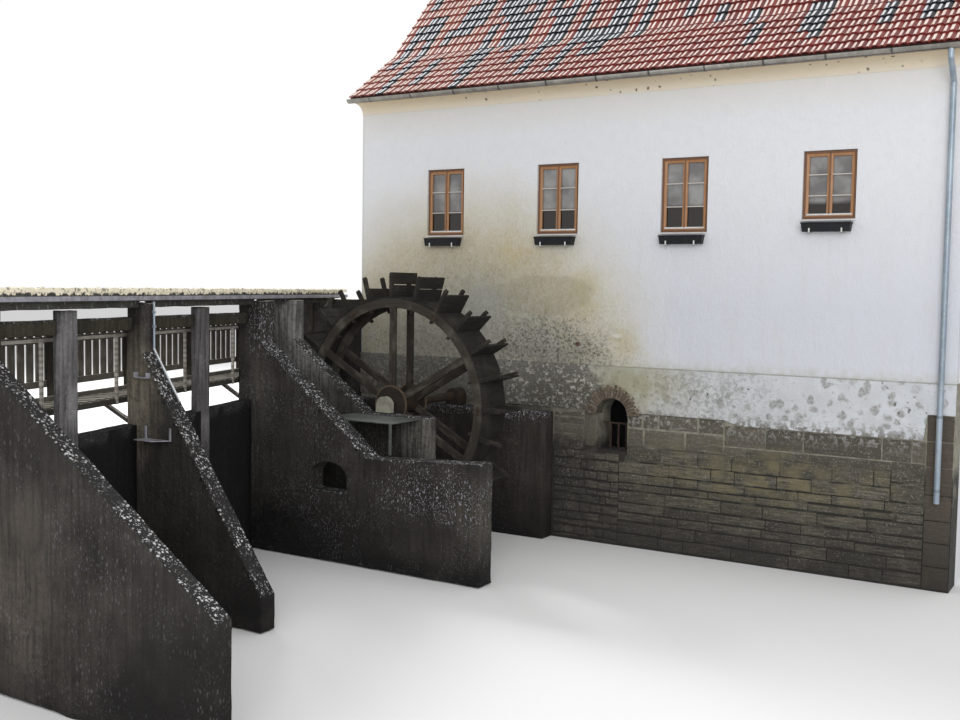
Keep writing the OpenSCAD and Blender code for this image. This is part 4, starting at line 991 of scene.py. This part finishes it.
paint((0.15, 0.115, 0.075), blot(ARCH_X, ARCH_Z, 0.60, 0.60, 0.2, 0.3, 9), cloud(18, 0.35, 0.55))
rough = fall(ragged_x, -0.55, -0.15)
crumb = cloud(14, 0.49, 0.545, 7, (1, 1, 1.2), 0.75)
skin = colour
base(crumb, (0.060, 0.054, 0.043), (0.42, 0.405, 0.355))
paint((0.26, 0.25, 0.22), fall(axis("X"), -2.6, -1.5), 0.55)
paint((0.050, 0.045, 0.036), below(2.35, 2.85), 0.55)
paint((0.30, 0.29, 0.255), above(2.75, LEDGE_Z), 0.4)
colour = mix(times(rough, 0.85), skin, colour)
paint((0.50, 0.49, 0.44), cloud(17, 0.59, 0.63, 7, rough=0.75), rough, 0.7)
height = plus(times(less(rim), 0.5), times(less(hole), 0.5))
wear(done((height, 0.012), (cloud(25, 0.3, 0.7, 4), 0.005), (times(rough, crumb), 0.02)), "base_render")
print("pitted render on the band over the stone base")

# %% [markdown]
# ## Water wheel
#
# Each rim is built up of curved timbers, the felloes, that meet end to end in the middle between two
# spokes. A felloe's cross-section is spun about the axle through a sixth of the circle, less a thin
# gap; six copies make a rim. Bolts hold each joint. The solid ring behind it is hidden.

# %% Rims
RIM_OUT, RIM_IN, RIM_T = 1.879, 1.716, 0.068
RIM_Y = (-2.5475, -2.0225)
SPOKES = 6
STEP = 360 / SPOKES
FELLOE = math.radians(STEP - 0.13)    # a felloe's arc, less the thin gap at a joint


def felloe():
    """One felloe of the rim, on top of the wheel, its middle in the plane of the axle."""
    centre = (AXLE.x, 0, AXLE.z)
    clear()
    bpy.ops.mesh.primitive_plane_add(size=1, rotation=(0, math.pi / 2, 0),
                                     location=(AXLE.x, 0, AXLE.z + (RIM_OUT + RIM_IN) / 2))
    piece = fresh(scale=(RIM_OUT - RIM_IN, RIM_T, 1))
    pick(piece)
    bpy.ops.transform.rotate(value=-FELLOE / 2, orient_axis="Y", center_override=centre)
    bpy.ops.mesh.spin(steps=10, angle=FELLOE, center=centre, axis=(0, 1, 0))
    weld(piece)
    outward(piece)
    return piece


def spin_about_axle(piece, degrees, y):
    """A copy of a piece turned about the wheel's axle and moved along it."""
    return copy(piece, (0, y, 0), Matrix.Rotation(math.radians(degrees), 4, "Y"), AXLE)


first = bevel(felloe(), 0.005, 1, 50)
felloes = [mark(spin_about_axle(first, STEP * number, y), chance.random())
           for y in RIM_Y for number in range(SPOKES)]
drop(first)
rims = join(felloes, "rims")
print("felloes:", len(felloes))

# %% [markdown]
# Six flat spokes stand on the barrel at each rim, bolted to it. A spoke is a plank with its long edges
# taken off; square iron plates with bolt heads tie the felloes where they meet.

# %% Spokes, joint plates and bolts
spoke = box((AXLE.x - 0.0645, -0.0318, AXLE.z + 0.188), (AXLE.x + 0.0645, 0.0318, AXLE.z + 1.7125), "spoke")
pick(spoke, lambda a, b: abs(a.x - b.x) < 0.01 and abs(a.y - b.y) < 0.01, "EDGE")
bpy.ops.mesh.bevel(offset=0.009, segments=2)
plate = box((AXLE.x - 0.075, -0.042, AXLE.z + 1.765), (AXLE.x + 0.075, -0.034, AXLE.z + 1.83), "plate")
bevel(plate, 0.002)
clear()
bpy.ops.mesh.primitive_cylinder_add(vertices=6, radius=0.013, depth=0.016, rotation=(math.pi / 2, 0, 0),
                                    location=(AXLE.x, -0.048, AXLE.z))
bolt = bevel(fresh("bolt"), 0.002)
face_about = Matrix.Rotation(math.pi, 4, "Z") @ Matrix.Translation((-2 * AXLE.x, 0, 0))
parts = [(plate, (0, 0, 0))] + [(bolt, (x, 0, r)) for x in (-0.05, 0.05) for r in (1.785, 1.81)]
spokes, irons = [], []
for y in RIM_Y:
    for number in range(SPOKES):
        spokes.append(mark(spin_about_axle(spoke, STEP * number, y), chance.random()))
        for model, place_on in parts:
            made = copy(model, place_on)
            if y == max(RIM_Y):
                made.data.transform(face_about)
            irons.append(spin_about_axle(made, STEP * (number + 0.5), y))
            drop(made)
drop(spoke, plate, bolt)
spoke_planks = join(spokes, "spoke_planks")
rim_irons = join(irons, "rim_irons")
print("spokes:", len(spokes), "and", len(irons), "plates and bolts")

# %% [markdown]
# Wet wood turns grey-brown and dark where it stays wet. Its grain follows each timber: along the
# circle in the rims, along the radius in spokes and arms, along the axle in the boards. The finish
# works out the radius and the angle of a point about the axle, and stretches the noise along one.

# %% Wheel wood
MEAN_RADIUS = 1.8     # makes an angle on the rim a length along it


def about_axle():
    """The radius of a point, its angle times the rim's radius, and y."""
    moved = add("VectorMath", [(0, place), (1, tuple(AXLE))], operation="SUBTRACT").outputs[0]
    across, along, up = add("SeparateXYZ", [(0, moved)]).outputs
    radius = maths("SQRT", maths("ADD", maths("MULTIPLY", across, across), maths("MULTIPLY", up, up)))
    return radius, maths("MULTIPLY", maths("ARCTAN2", up, across), MEAN_RADIUS), along


def weathered(name, light, dark, stretch, polar=True, toned=False, rubbed_and_highlight=(0.16, 0.145, 0.12)):
    """Grey-brown wood with cracks along the grain, paler in worn places."""
    global point
    begin(name, 0.85, specular=0.25)
    if polar:
        point = add("CombineXYZ", list(enumerate(about_axle()))).outputs[0]
    grain = cloud(22, 0.3, 0.7, 7, stretch, 0.6)
    base(grain, light, dark)
    if toned:
        paint(dark, tone(), 0.45)
    paint(rubbed_and_highlight, cloud(3, 0.5, 0.7), 0.45)
    crack = fall(cloud(34, 0.0, 1.0, 3, stretch), 0.30, 0.36)
    paint((0.008, 0.007, 0.006), crack, 0.7)
    return done((less(crack), 0.004), (grain, 0.003))


rim_wood = weathered("rim_wood", (0.058, 0.049, 0.040), (0.026, 0.021, 0.017), (3, 0.14, 3), toned=True)
spoke_wood = weathered("spoke_wood", (0.050, 0.040, 0.032), (0.022, 0.017, 0.014), (0.12, 3, 3), toned=True)
arm_wood = weathered("arm_wood", (0.030, 0.026, 0.021), (0.013, 0.011, 0.009), (0.14, 3, 3),
                     rubbed_and_highlight=(0.09, 0.08, 0.065))
board_wood = weathered("board_wood", (0.026, 0.024, 0.020), (0.010, 0.009, 0.008), (3, 3, 0.12),
                       rubbed_and_highlight=(0.060, 0.055, 0.045))
rusty_iron = mottled("rusty_iron", (0.8, 0.3), (12,), (0.028, 0.021, 0.017), (0.062, 0.036, 0.022),
                     (60, 0.001))
finish(rims, rim_wood, ["wheel_rims"], body="wheel")
finish(spoke_planks, spoke_wood, ["wheel_spokes"], body="wheel")
finish(rim_irons, rusty_iron, body="wheel")
wear(arm_wood, "paddle_arms")
wear(board_wood, "paddle_boards", "wheel_drum")

# %% [markdown]
# ## Concrete of the race and the weir
#
# The race walls, buttresses and posts are rammed concrete, a century old: corners have broken off,
# stones stand out on the slopes, and faces are washed hollow. A clean solid can't show that. Each is
# copied, cut by level and upright planes in cells as wide as a hand, and a Displace modifier pushes
# the surface inwards after a cloud pattern. It only pushes inwards, so the piece stays in its box.

# %% Worn copies of the concrete solids
def bisect(piece, number, cell):
    """Cuts a piece by evenly spaced planes across one of its axes."""
    values = [vertex.co[number] for vertex in piece.data.vertices]
    low, high = min(values), max(values)
    steps = max(1, round((high - low) / cell))
    normal = Vector(int(number == other) for other in range(3))
    for step in range(1, steps):
        pick(piece)
        bpy.ops.mesh.bisect(plane_co=normal * (low + (high - low) * step / steps), plane_no=normal)
    leave()


def worn(name, sources, cell, depth, size, edge=0.02):
    """A worn copy of some solids: broken edges and a surface washed in by up to a depth."""
    piece = join([solid_copy(source, name) for source in sources], name)
    weld(piece)
    bpy.ops.mesh.dissolve_limited(angle_limit=math.radians(1))
    leave()
    if edge:
        bevel(piece, edge, 1, 25)
    for number in range(3):
        bisect(piece, number, cell)
    pick(piece)
    bpy.ops.mesh.quads_convert_to_tris()
    bpy.ops.mesh.remove_doubles(threshold=0.002)
    for scale, share in ((size, 0.7), (size / 3.5, 0.3)):
        pattern = bpy.data.textures.new(name + "_cloud", "CLOUDS")
        pattern.noise_scale, pattern.noise_depth = scale, 3
        only(piece)
        tool = piece.modifiers.new("wash", "DISPLACE")
        tool.texture, tool.texture_coords = pattern, "LOCAL"
        tool.strength, tool.mid_level = depth * share, 1.0
        bpy.ops.object.modifier_apply(modifier=tool.name)
    return piece


def stand(piece, height=0.012):
    """Puts the washed foot of a piece back on the ground."""
    pick(piece, lambda co: co.z < height, "VERT")
    bpy.ops.transform.resize(value=(1, 1, 0), center_override=(0, 0, 0))
    leave()


# Each piece with its solids, the cell of its cuts, the depth and size of the wash, and its broken edge.
WORN = {
    "race_wall": (["outer_race_wall"], 0.085, 0.045, 0.40),
    "pier": (["bearing_pier"], 0.10, 0.022, 0.3, 0.015),
    "inner_wall": (["inner_race_wall"], 0.12, 0.022, 0.4),
    "buttresses": (["middle_buttress", "bank_buttress"], 0.10, 0.040, 0.42),
    "posts": (["weir_posts"], 0.09, 0.020, 0.25, 0.012),
    "dam": (["weir_wall"], 0.25, 0.030, 0.5, 0),
    "landing": (["bridge_abutment"], 0.16, 0.030, 0.5),
    "deck": (["footbridge"], 0.14, 0.022, 0.35, 0.012),
    "beams": (["guide_beam"], 0.14, 0.018, 0.3, 0.012)}
worn_pieces = {name: worn(name, *look) for name, look in WORN.items()}
for name, piece in worn_pieces.items():
    if name not in ("deck", "beams"):
        stand(piece)
print({name: len(piece.data.polygons) for name, piece in worn_pieces.items()})

# %% [markdown]
# Old concrete is a dark grey-brown skin. Lime shows through as thousands of white specks, drawn out
# downwards by the rain and thickest below the top edges. Slopes carry black moss with white crumbs.
# The foot is painted almost black, for wet concrete and for painted shade by the water, and high tops
# that face the sky are painted pale as sunlight. A speck is a cell of a Voronoi pattern, squeezed to
# stand upright; only cells with a high random number show.

# %% Concrete finishes
def specks(scale, stretch, size, share):
    """Scattered spots: one in some of the cells of a pattern."""
    spot = fall(cells(scale, stretch, warp=0.5 / scale), size * 0.6, size)
    return times(spot, ramp(cells(scale, stretch, 1, 0.5 / scale), 1 - share, 1 - share + 0.03))


def concrete(name, light, dark, lime, foot, patches=(), limed=(), streaks=0.5, crumbs=0.9):
    """Old concrete, with patches as (centre, radii, colour, share) and limed places as (centre, radii)."""
    begin(name, 0.93, specular=0.2)
    body = cloud(1.6, 0.35, 0.65, 6)
    fine = cloud(12, 0.35, 0.65, 7, rough=0.68)
    base(body, light, dark)
    paint(dark, fine, 0.5)
    # The foot: wet concrete, and a painted shade low by the water.
    paint((0.010, 0.009, 0.009), below(*foot), cloud(2, 0.0, 0.5))
    for centre, radii, patch, share in patches:
        paint(patch, near(centre, radii, 0.8, 0.7), plus(0.45, fine), share)
    paint([0.45 * part for part in dark], cloud(8, 0.42, 0.66, 5, (2.6, 2.6, 0.18)), streaks)
    slope = facing_up(0.25, 0.50)
    paint((0.021, 0.020, 0.020), slope, 0.85)
    amount = plus(times(cloud(0.9, 0.40, 0.62, 4), lime), *(near(*spot, 0.7, 0.7) for spot in limed))
    small = specks(34, (1.4, 1.4, 0.8), 0.36, 0.55)
    spots = plus(specks(15, (1.6, 1.6, 0.75), 0.34, 0.52), small)
    paint((0.33, 0.33, 0.37), spots, amount, 0.9)
    crumb = plus(specks(22, (1, 1, 1), 0.42, 0.55), small)
    paint((0.60, 0.60, 0.61), crumb, slope, cloud(3, 0.35, 0.56), crumbs)
    # Painted sunlight: faces that look up, above 4.2 m, are painted pale.
    paint((0.60, 0.57, 0.48), facing_up(0.75, 0.92), above(4.2, 4.25), cloud(9, 0.35, 0.5))
    return done((body, 0.02), (cloud(22, 0.3, 0.7, 6), 0.012), (spots, 0.004))


race_concrete = concrete(
    "race_concrete", (0.056, 0.050, 0.045), (0.028, 0.025, 0.023), lime=0.30, foot=(0.1, 0.9), patches=[
        ((-4.85, -4.24, 2.75), (0.42, 1.5, 1.1), (0.085, 0.078, 0.064), 0.8),
        ((-4.2, -4.24, 2.2), (1.0, 1.5, 0.8), (0.040, 0.036, 0.030), 0.7),
        # Painted shade: the foot of the race wall's upstream part is nearly black.
        ((-4.3, -4.24, 0.3), (2.6, 1.5, 1.25), (0.0045, 0.0042, 0.0042), 1.0),
        ((-0.35, -4.24, 1.1), (0.55, 1.5, 0.9), (0.088, 0.082, 0.066), 0.75),
        ((-1.2, -4.24, 0.45), (1.1, 1.5, 0.30), (0.046, 0.041, 0.034), 0.8)],
    limed=[((-1.2, -4.24, 1.35), (1.5, 1.5, 0.55)), ((-4.75, -4.24, 3.9), (0.5, 1.5, 0.6))])
slope_concrete = concrete(
    "slope_concrete", (0.055, 0.050, 0.045), (0.026, 0.023, 0.021), lime=0.20, foot=(0.3, 2.0), patches=[
        # Painted sunlight: a pale brown patch high on the middle buttress's near face.
        ((-3.95, -7.77, 3.0), (0.6, 0.3, 1.1), (0.20, 0.175, 0.135), 0.9),
        ((-2.5, -11, 1.2), (2.2, 1.0, 1.6), (0.095, 0.080, 0.068), 0.8)])
post_concrete = concrete("post_concrete", (0.225, 0.218, 0.220), (0.095, 0.090, 0.090), lime=0.35,
                         streaks=0.85, foot=(0.8, 2.4))
pier_concrete = concrete("pier_concrete", (0.070, 0.066, 0.060), (0.030, 0.028, 0.026), lime=0.35,
                         streaks=0.7, foot=(0.1, 1.5), patches=[
                             ((-5.0, -3.0, 3.9), (1.4, 1.5, 1.7), (0.24, 0.232, 0.222), 1.0),
                             ((-2.2, -2.9, 2.1), (0.7, 1.5, 1.0), (0.19, 0.18, 0.16), 0.9)])
wet_concrete = concrete("wet_concrete", (0.054, 0.047, 0.042), (0.034, 0.029, 0.026), lime=0.12,
                        streaks=0.6, foot=(0.1, 1.1), limed=[((-2.2, -0.7, 2.3), (2.6, 1.5, 0.16))])
# The weir wall is nearly black: wet concrete, and painted deep shade.
shaded_wet_concrete = concrete("shaded_wet_concrete", (0.009, 0.008, 0.008), (0.004, 0.004, 0.004), lime=0.04,
                          foot=(1.0, 3.0), crumbs=0.1)
beam_concrete = concrete("beam_concrete", (0.066, 0.060, 0.040), (0.032, 0.029, 0.021), lime=0.15,
                         foot=(-2, -1))
for name, look, slot in (
        ("race_wall", race_concrete, "dark_concrete"),
        ("pier", pier_concrete, "pale_concrete"),
        ("inner_wall", wet_concrete, "dark_concrete"),
        ("dam", shaded_wet_concrete, "dark_concrete"),
        ("landing", slope_concrete, "dark_concrete"),
        ("posts", post_concrete, "pale_concrete"),
        ("beams", beam_concrete, "dark_concrete"),
        ("buttresses", slope_concrete, "dark_concrete")):
    finish(worn_pieces[name], look, WORN[name][0], smooth=30)

# %% [markdown]
# Along the deck's downstream edge lies a crust of sand and moss. The deck's top and the crust are
# painted near white: pale sand and moss, brightened as painted sunlight. Under it the edge is dark, and
# a steel strip runs along its lower half. The crust is a long low box, cut in short lengths and pushed
# about; the strip is a flat bar, bevelled, with a joint in the middle.

# %% Deck edge
spans = [(FROM_WEIR.inverted() @ vertex.co).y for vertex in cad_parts["footbridge"].data.vertices]
deck_from, deck_to = min(spans), max(spans)
print("the deck runs from", round(deck_from, 2), "to", round(deck_to, 2), "along the weir")
crust = box((-0.20, deck_from + 0.07, 4.462), (-0.063, deck_to - 0.01, 4.515), "deck_crust")
bisect(crust, 1, 0.06)
bisect(crust, 0, 0.05)
crust.data.transform(FROM_WEIR)
pick(crust, lambda co: co.z > 4.5, "VERT")
bpy.ops.transform.vertex_random(offset=0.022, seed=5)
leave()
edge_strip = join([box((-0.062, start, 4.352), (-0.048, end, 4.412), "bar")
                   for start, end in ((deck_from, -2.02), (-2.0, deck_to))], "edge_strip")
edge_strip.data.transform(FROM_WEIR)
bevel(edge_strip, 0.003)

begin("deck_concrete", 0.95)
base(cloud(3, 0.35, 0.65), (0.055, 0.053, 0.044), (0.026, 0.025, 0.022))
paint((0.13, 0.13, 0.11), specks(20, (1, 1, 0.6), 0.4, 0.5))
height = maths("ADD", axis("Z"), ramp(cloud(12), 0, 1, -0.02, 0.02))
# Painted sunlight: everything above the deck's top edge is near white, over the pale crust.
paint((0.86, 0.79, 0.62), ramp(height, 4.437, 4.452), plus(0.35, cloud(17, 0.38, 0.5)))
deck_concrete = done((cloud(30, 0.3, 0.7), 0.008))
finish(worn_pieces["deck"], deck_concrete, ["footbridge"], smooth=30)
finish(crust, deck_concrete, smooth=30)
pale_steel = mottled("pale_steel", (0.5, 0.2), (6, 0.4, 0.65), (0.34, 0.34, 0.39), (0.22, 0.21, 0.23),
                     (50, 0.0006), ((14, 0.55, 0.7), (0.16, 0.12, 0.09), 0.6))
finish(edge_strip, pale_steel)

# %% [markdown]
# On the middle buttress's near face hang a small steel plate on two flat bars, and higher up a
# staple. The plate is a box with one corner pulled in; the staple is three short bars, joined.

# %% Small steel on the middle buttress
NEAR_Y = -7.772       # the buttress's near face
plate = box((-3.72, NEAR_Y - 0.21, 2.42), (-3.20, NEAR_Y, 2.432), "plate")
pick(plate, lambda co: co.x > -3.3 and co.y < NEAR_Y - 0.1, "VERT")
bpy.ops.transform.translate(value=(-0.18, 0, 0))
leave()
bars = [box((x - 0.018, NEAR_Y - 0.014, 2.42), (x + 0.018, NEAR_Y, 2.60), "bar") for x in (-3.70, -3.22)]
bars.append(box((-3.90, NEAR_Y - 0.05, 3.265), (-3.64, NEAR_Y - 0.02, 3.285), "bar"))
bars += [box((x, NEAR_Y - 0.05, 3.265), (x + 0.02, NEAR_Y + 0.03, 3.345), "bar") for x in (-3.90, -3.66)]
buttress_steel = bevel(join([plate] + bars, "buttress_steel"), 0.003)
finish(buttress_steel, pale_steel)

# %% [markdown]
# ## Metal, cove and small wood
#
# The gutter and downpipe are zinc gone matt, with pale and dark runs; folds that face up are bright.
# The downpipe is made of lengths pushed into one another, and two joints show as rings. The sheet
# platform is painted steel, gone greenish. The plaster cove under the eaves is cream, more orange
# where water has run over the gutter. Floor boards, paling and walkway are bare weathered softwood.

# %% Finishes for the remaining solids
def zinc(name, pale, dull, roughness=0.45, joints=()):
    """Matt sheet zinc: pale and dull runs, a bright edge where it faces the light, joints as rings."""
    begin(name, roughness, 0.35)
    base(cloud(5, 0.35, 0.65, 5, (1, 1, 0.4)), pale, dull)
    paint((0.74, 0.75, 0.74), facing_up(0.15, 0.5), 0.8)
    paint((0.42, 0.42, 0.40), cloud(14, 0.52, 0.7), 0.5)
    for joint in joints:
        off = maths("ABSOLUTE", maths("SUBTRACT", axis("Z"), joint))
        paint([0.4 * part for part in pale], fall(off, 0.018, 0.026), 0.7)
    return done((cloud(40, 0.3, 0.7), 0.0006))


gutter_sheet = zinc("gutter_sheet", (0.30, 0.28, 0.25), (0.20, 0.185, 0.165))
pipe_sheet = zinc("pipe_sheet", (0.31, 0.37, 0.43), (0.21, 0.26, 0.31), 0.38, (1.59, 2.73))
strap_sheet = zinc("strap_sheet", (0.10, 0.095, 0.088), (0.06, 0.056, 0.052))
finish(trimmed("gutters", "eaves_gutters"), gutter_sheet, ["gutters"])
wear(strap_sheet, "gutter_brackets")
wear(pipe_sheet, "downpipe", "edge_rod")

begin("cream_render", 0.9)
colour = shades(above(7.95, 8.35), (0.0, (0.68, 0.665, 0.62)), (0.45, (0.68, 0.60, 0.47)),
                (1.0, (0.60, 0.45, 0.27)))
paint((0.70, 0.60, 0.44), cloud(1.6, 0.4, 0.65), 0.35)
paint((0.13, 0.11, 0.08), fall(cells(6, warp=0.1), 0.10, 0.20), cloud(2, 0.46, 0.56))
wear(done((cloud(20, 0.3, 0.7), 0.002)), "eaves_coves")

grey_steel = mottled("grey_steel", (0.55, 0.3), (3,), (0.115, 0.130, 0.118), (0.075, 0.082, 0.076),
                     (50, 0.0006), ((9, 0.55, 0.7), (0.21, 0.21, 0.19), 0.7))
bearing_paint = mottled("bearing_paint", (0.6,), (6, 0.45, 0.65), (0.32, 0.31, 0.25), (0.22, 0.21, 0.17),
                        (40, 0.0008), ((20, 0.55, 0.7), (0.12, 0.10, 0.07), 0.6))
old_iron = mottled("old_iron", (0.6, 0.3), (7,), (0.030, 0.026, 0.023), (0.058, 0.036, 0.024), (45, 0.001))
wear(grey_steel, "bearing_shelf")
wear(bearing_paint, "axle_bearing")
wear(old_iron, "wheel_axle", "wall_bearing")
wear(rusty_iron, "arch_bars")

HUB_RIM = (0.312, 0.320)    # the hub plates carry a painted highlight outside this radius
begin("hub_iron", 0.65, 0.3)
base(cloud(7), (0.018, 0.016, 0.014), (0.034, 0.024, 0.018))
# Painted highlight: a bright ring at the rim of the hub plates.
paint((0.115, 0.085, 0.055), ramp(about_axle()[0], *HUB_RIM))
wear(done((cloud(45, 0.3, 0.7), 0.001)), "wheel_hubs")

dark_wood = weathered("dark_wood", (0.060, 0.050, 0.039), (0.026, 0.022, 0.018), (3, 3, 0.2), False,
                      rubbed_and_highlight=(0.12, 0.11, 0.09))
floor_boards = weathered("floor_boards", (0.20, 0.145, 0.085), (0.12, 0.085, 0.05), (0.15, 3, 3), False,
                         rubbed_and_highlight=(0.30, 0.285, 0.25))
wear(dark_wood, "slim_posts", "sluice_gate")
wear(floor_boards, "upper_floor")
print("metal, cove and small wood have their finishes")

# %% [markdown]
# The paling and the walkway are bare softwood, grey on upright faces; where they face the sky they
# are painted almost white as sunlight. The bearers below the boards are painted dark, as shade. The
# walkway's handrail and its posts are of slotted steel, so a copy of the solid is parted in two pieces,
# each with its own finish.

# %% Paling, walkway and handrail
begin("grey_wood", 0.85)
grain = cloud(20, 0.3, 0.7, 7, (3, 3, 0.2), 0.6)
base(grain, (0.150, 0.135, 0.112), (0.075, 0.066, 0.055))
paint((0.26, 0.24, 0.20), cloud(5, 0.5, 0.66), 0.4)
# Painted shade: everything below the walkway's boards is dark.
paint((0.032, 0.028, 0.023), below(2.955, 2.965))
# Painted sunlight: faces that look up are almost white.
paint((0.66, 0.62, 0.54), facing_up(0.7, 0.9), cloud(7, 0.25, 0.5))
grey_wood = done((grain, 0.002))
wear(grey_wood, "paling")

SLOTS = 12.5          # slots in a metre of post
walk_boards = solid_copy("walkway", "walk_boards")
weld(walk_boards)
pick(walk_boards, lambda co, normal: co.z > 3.06)
bpy.ops.mesh.separate(type="SELECTED")
leave()
handrail = [piece for piece in bpy.context.selected_objects if piece is not walk_boards][0]
handrail.name = handrail.data.name = "handrail"
finish(walk_boards, grey_wood, ["walkway"])
begin("slotted_steel", 0.5, 0.2)
slot = times(ramp(maths("FRACT", maths("MULTIPLY", axis("Z"), SLOTS)), 0.50, 0.56), below(3.80, 3.82))
base(cloud(6, 0.4, 0.65), (0.50, 0.47, 0.42), (0.34, 0.31, 0.27))
# Painted shade: the slots are dark.
paint((0.06, 0.055, 0.05), slot, 0.45)
finish(handrail, done((less(slot), 0.002)))

# %% [markdown]
# The ridge is covered by half-round tiles that taper and lap over one another along the roof. Half a
# cylinder is opened at its foot, its far end is made narrower, and copies are laid in a row.

# %% Ridge tiles
CAPS, CAP_L, CAP_Z = 32, 0.40, RIDGE_Z - 0.062


def ridge_cap(x):
    """A half-round tile over the ridge, wider at its lower-numbered end."""
    clear()
    bpy.ops.mesh.primitive_cylinder_add(vertices=24, radius=0.122, depth=CAP_L, end_fill_type="NOTHING",
                                        rotation=(0, math.pi / 2, 0),
                                        location=(x + CAP_L / 2, RIDGE_Y, CAP_Z))
    cap = fresh()
    pick(cap, lambda co, normal: co.z < CAP_Z - 0.013)
    bpy.ops.mesh.delete(type="FACE")
    pick(cap, lambda co: co.x > x + CAP_L / 2, "VERT")
    bpy.ops.transform.resize(value=(1, 0.86, 0.86), center_override=(x, RIDGE_Y, CAP_Z))
    only(cap)
    tool = cap.modifiers.new("thickness", "SOLIDIFY")
    tool.thickness, tool.offset = 0.016, -1
    bpy.ops.object.modifier_apply(modifier=tool.name)
    return cap


first = ridge_cap(-ROOF_HALF)
caps = []
for number in range(CAPS):
    placed = copy(first, (number * (2 * ROOF_HALF - CAP_L) / (CAPS - 1), 0, 0))
    # The caps take 0.60 on the tiles' highlight scale, so they carry part of the painted highlight.
    caps.append(mark(mark(placed, chance.uniform(0, 0.7)), 0.60, "crown_highlight"))
drop(first)
finish(join(caps, "ridge_caps"), clay_tiles, ["ridge_tiles"], smooth=50)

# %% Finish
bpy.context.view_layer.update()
scene = bpy.context.scene
scene.view_settings.view_transform = "Standard"
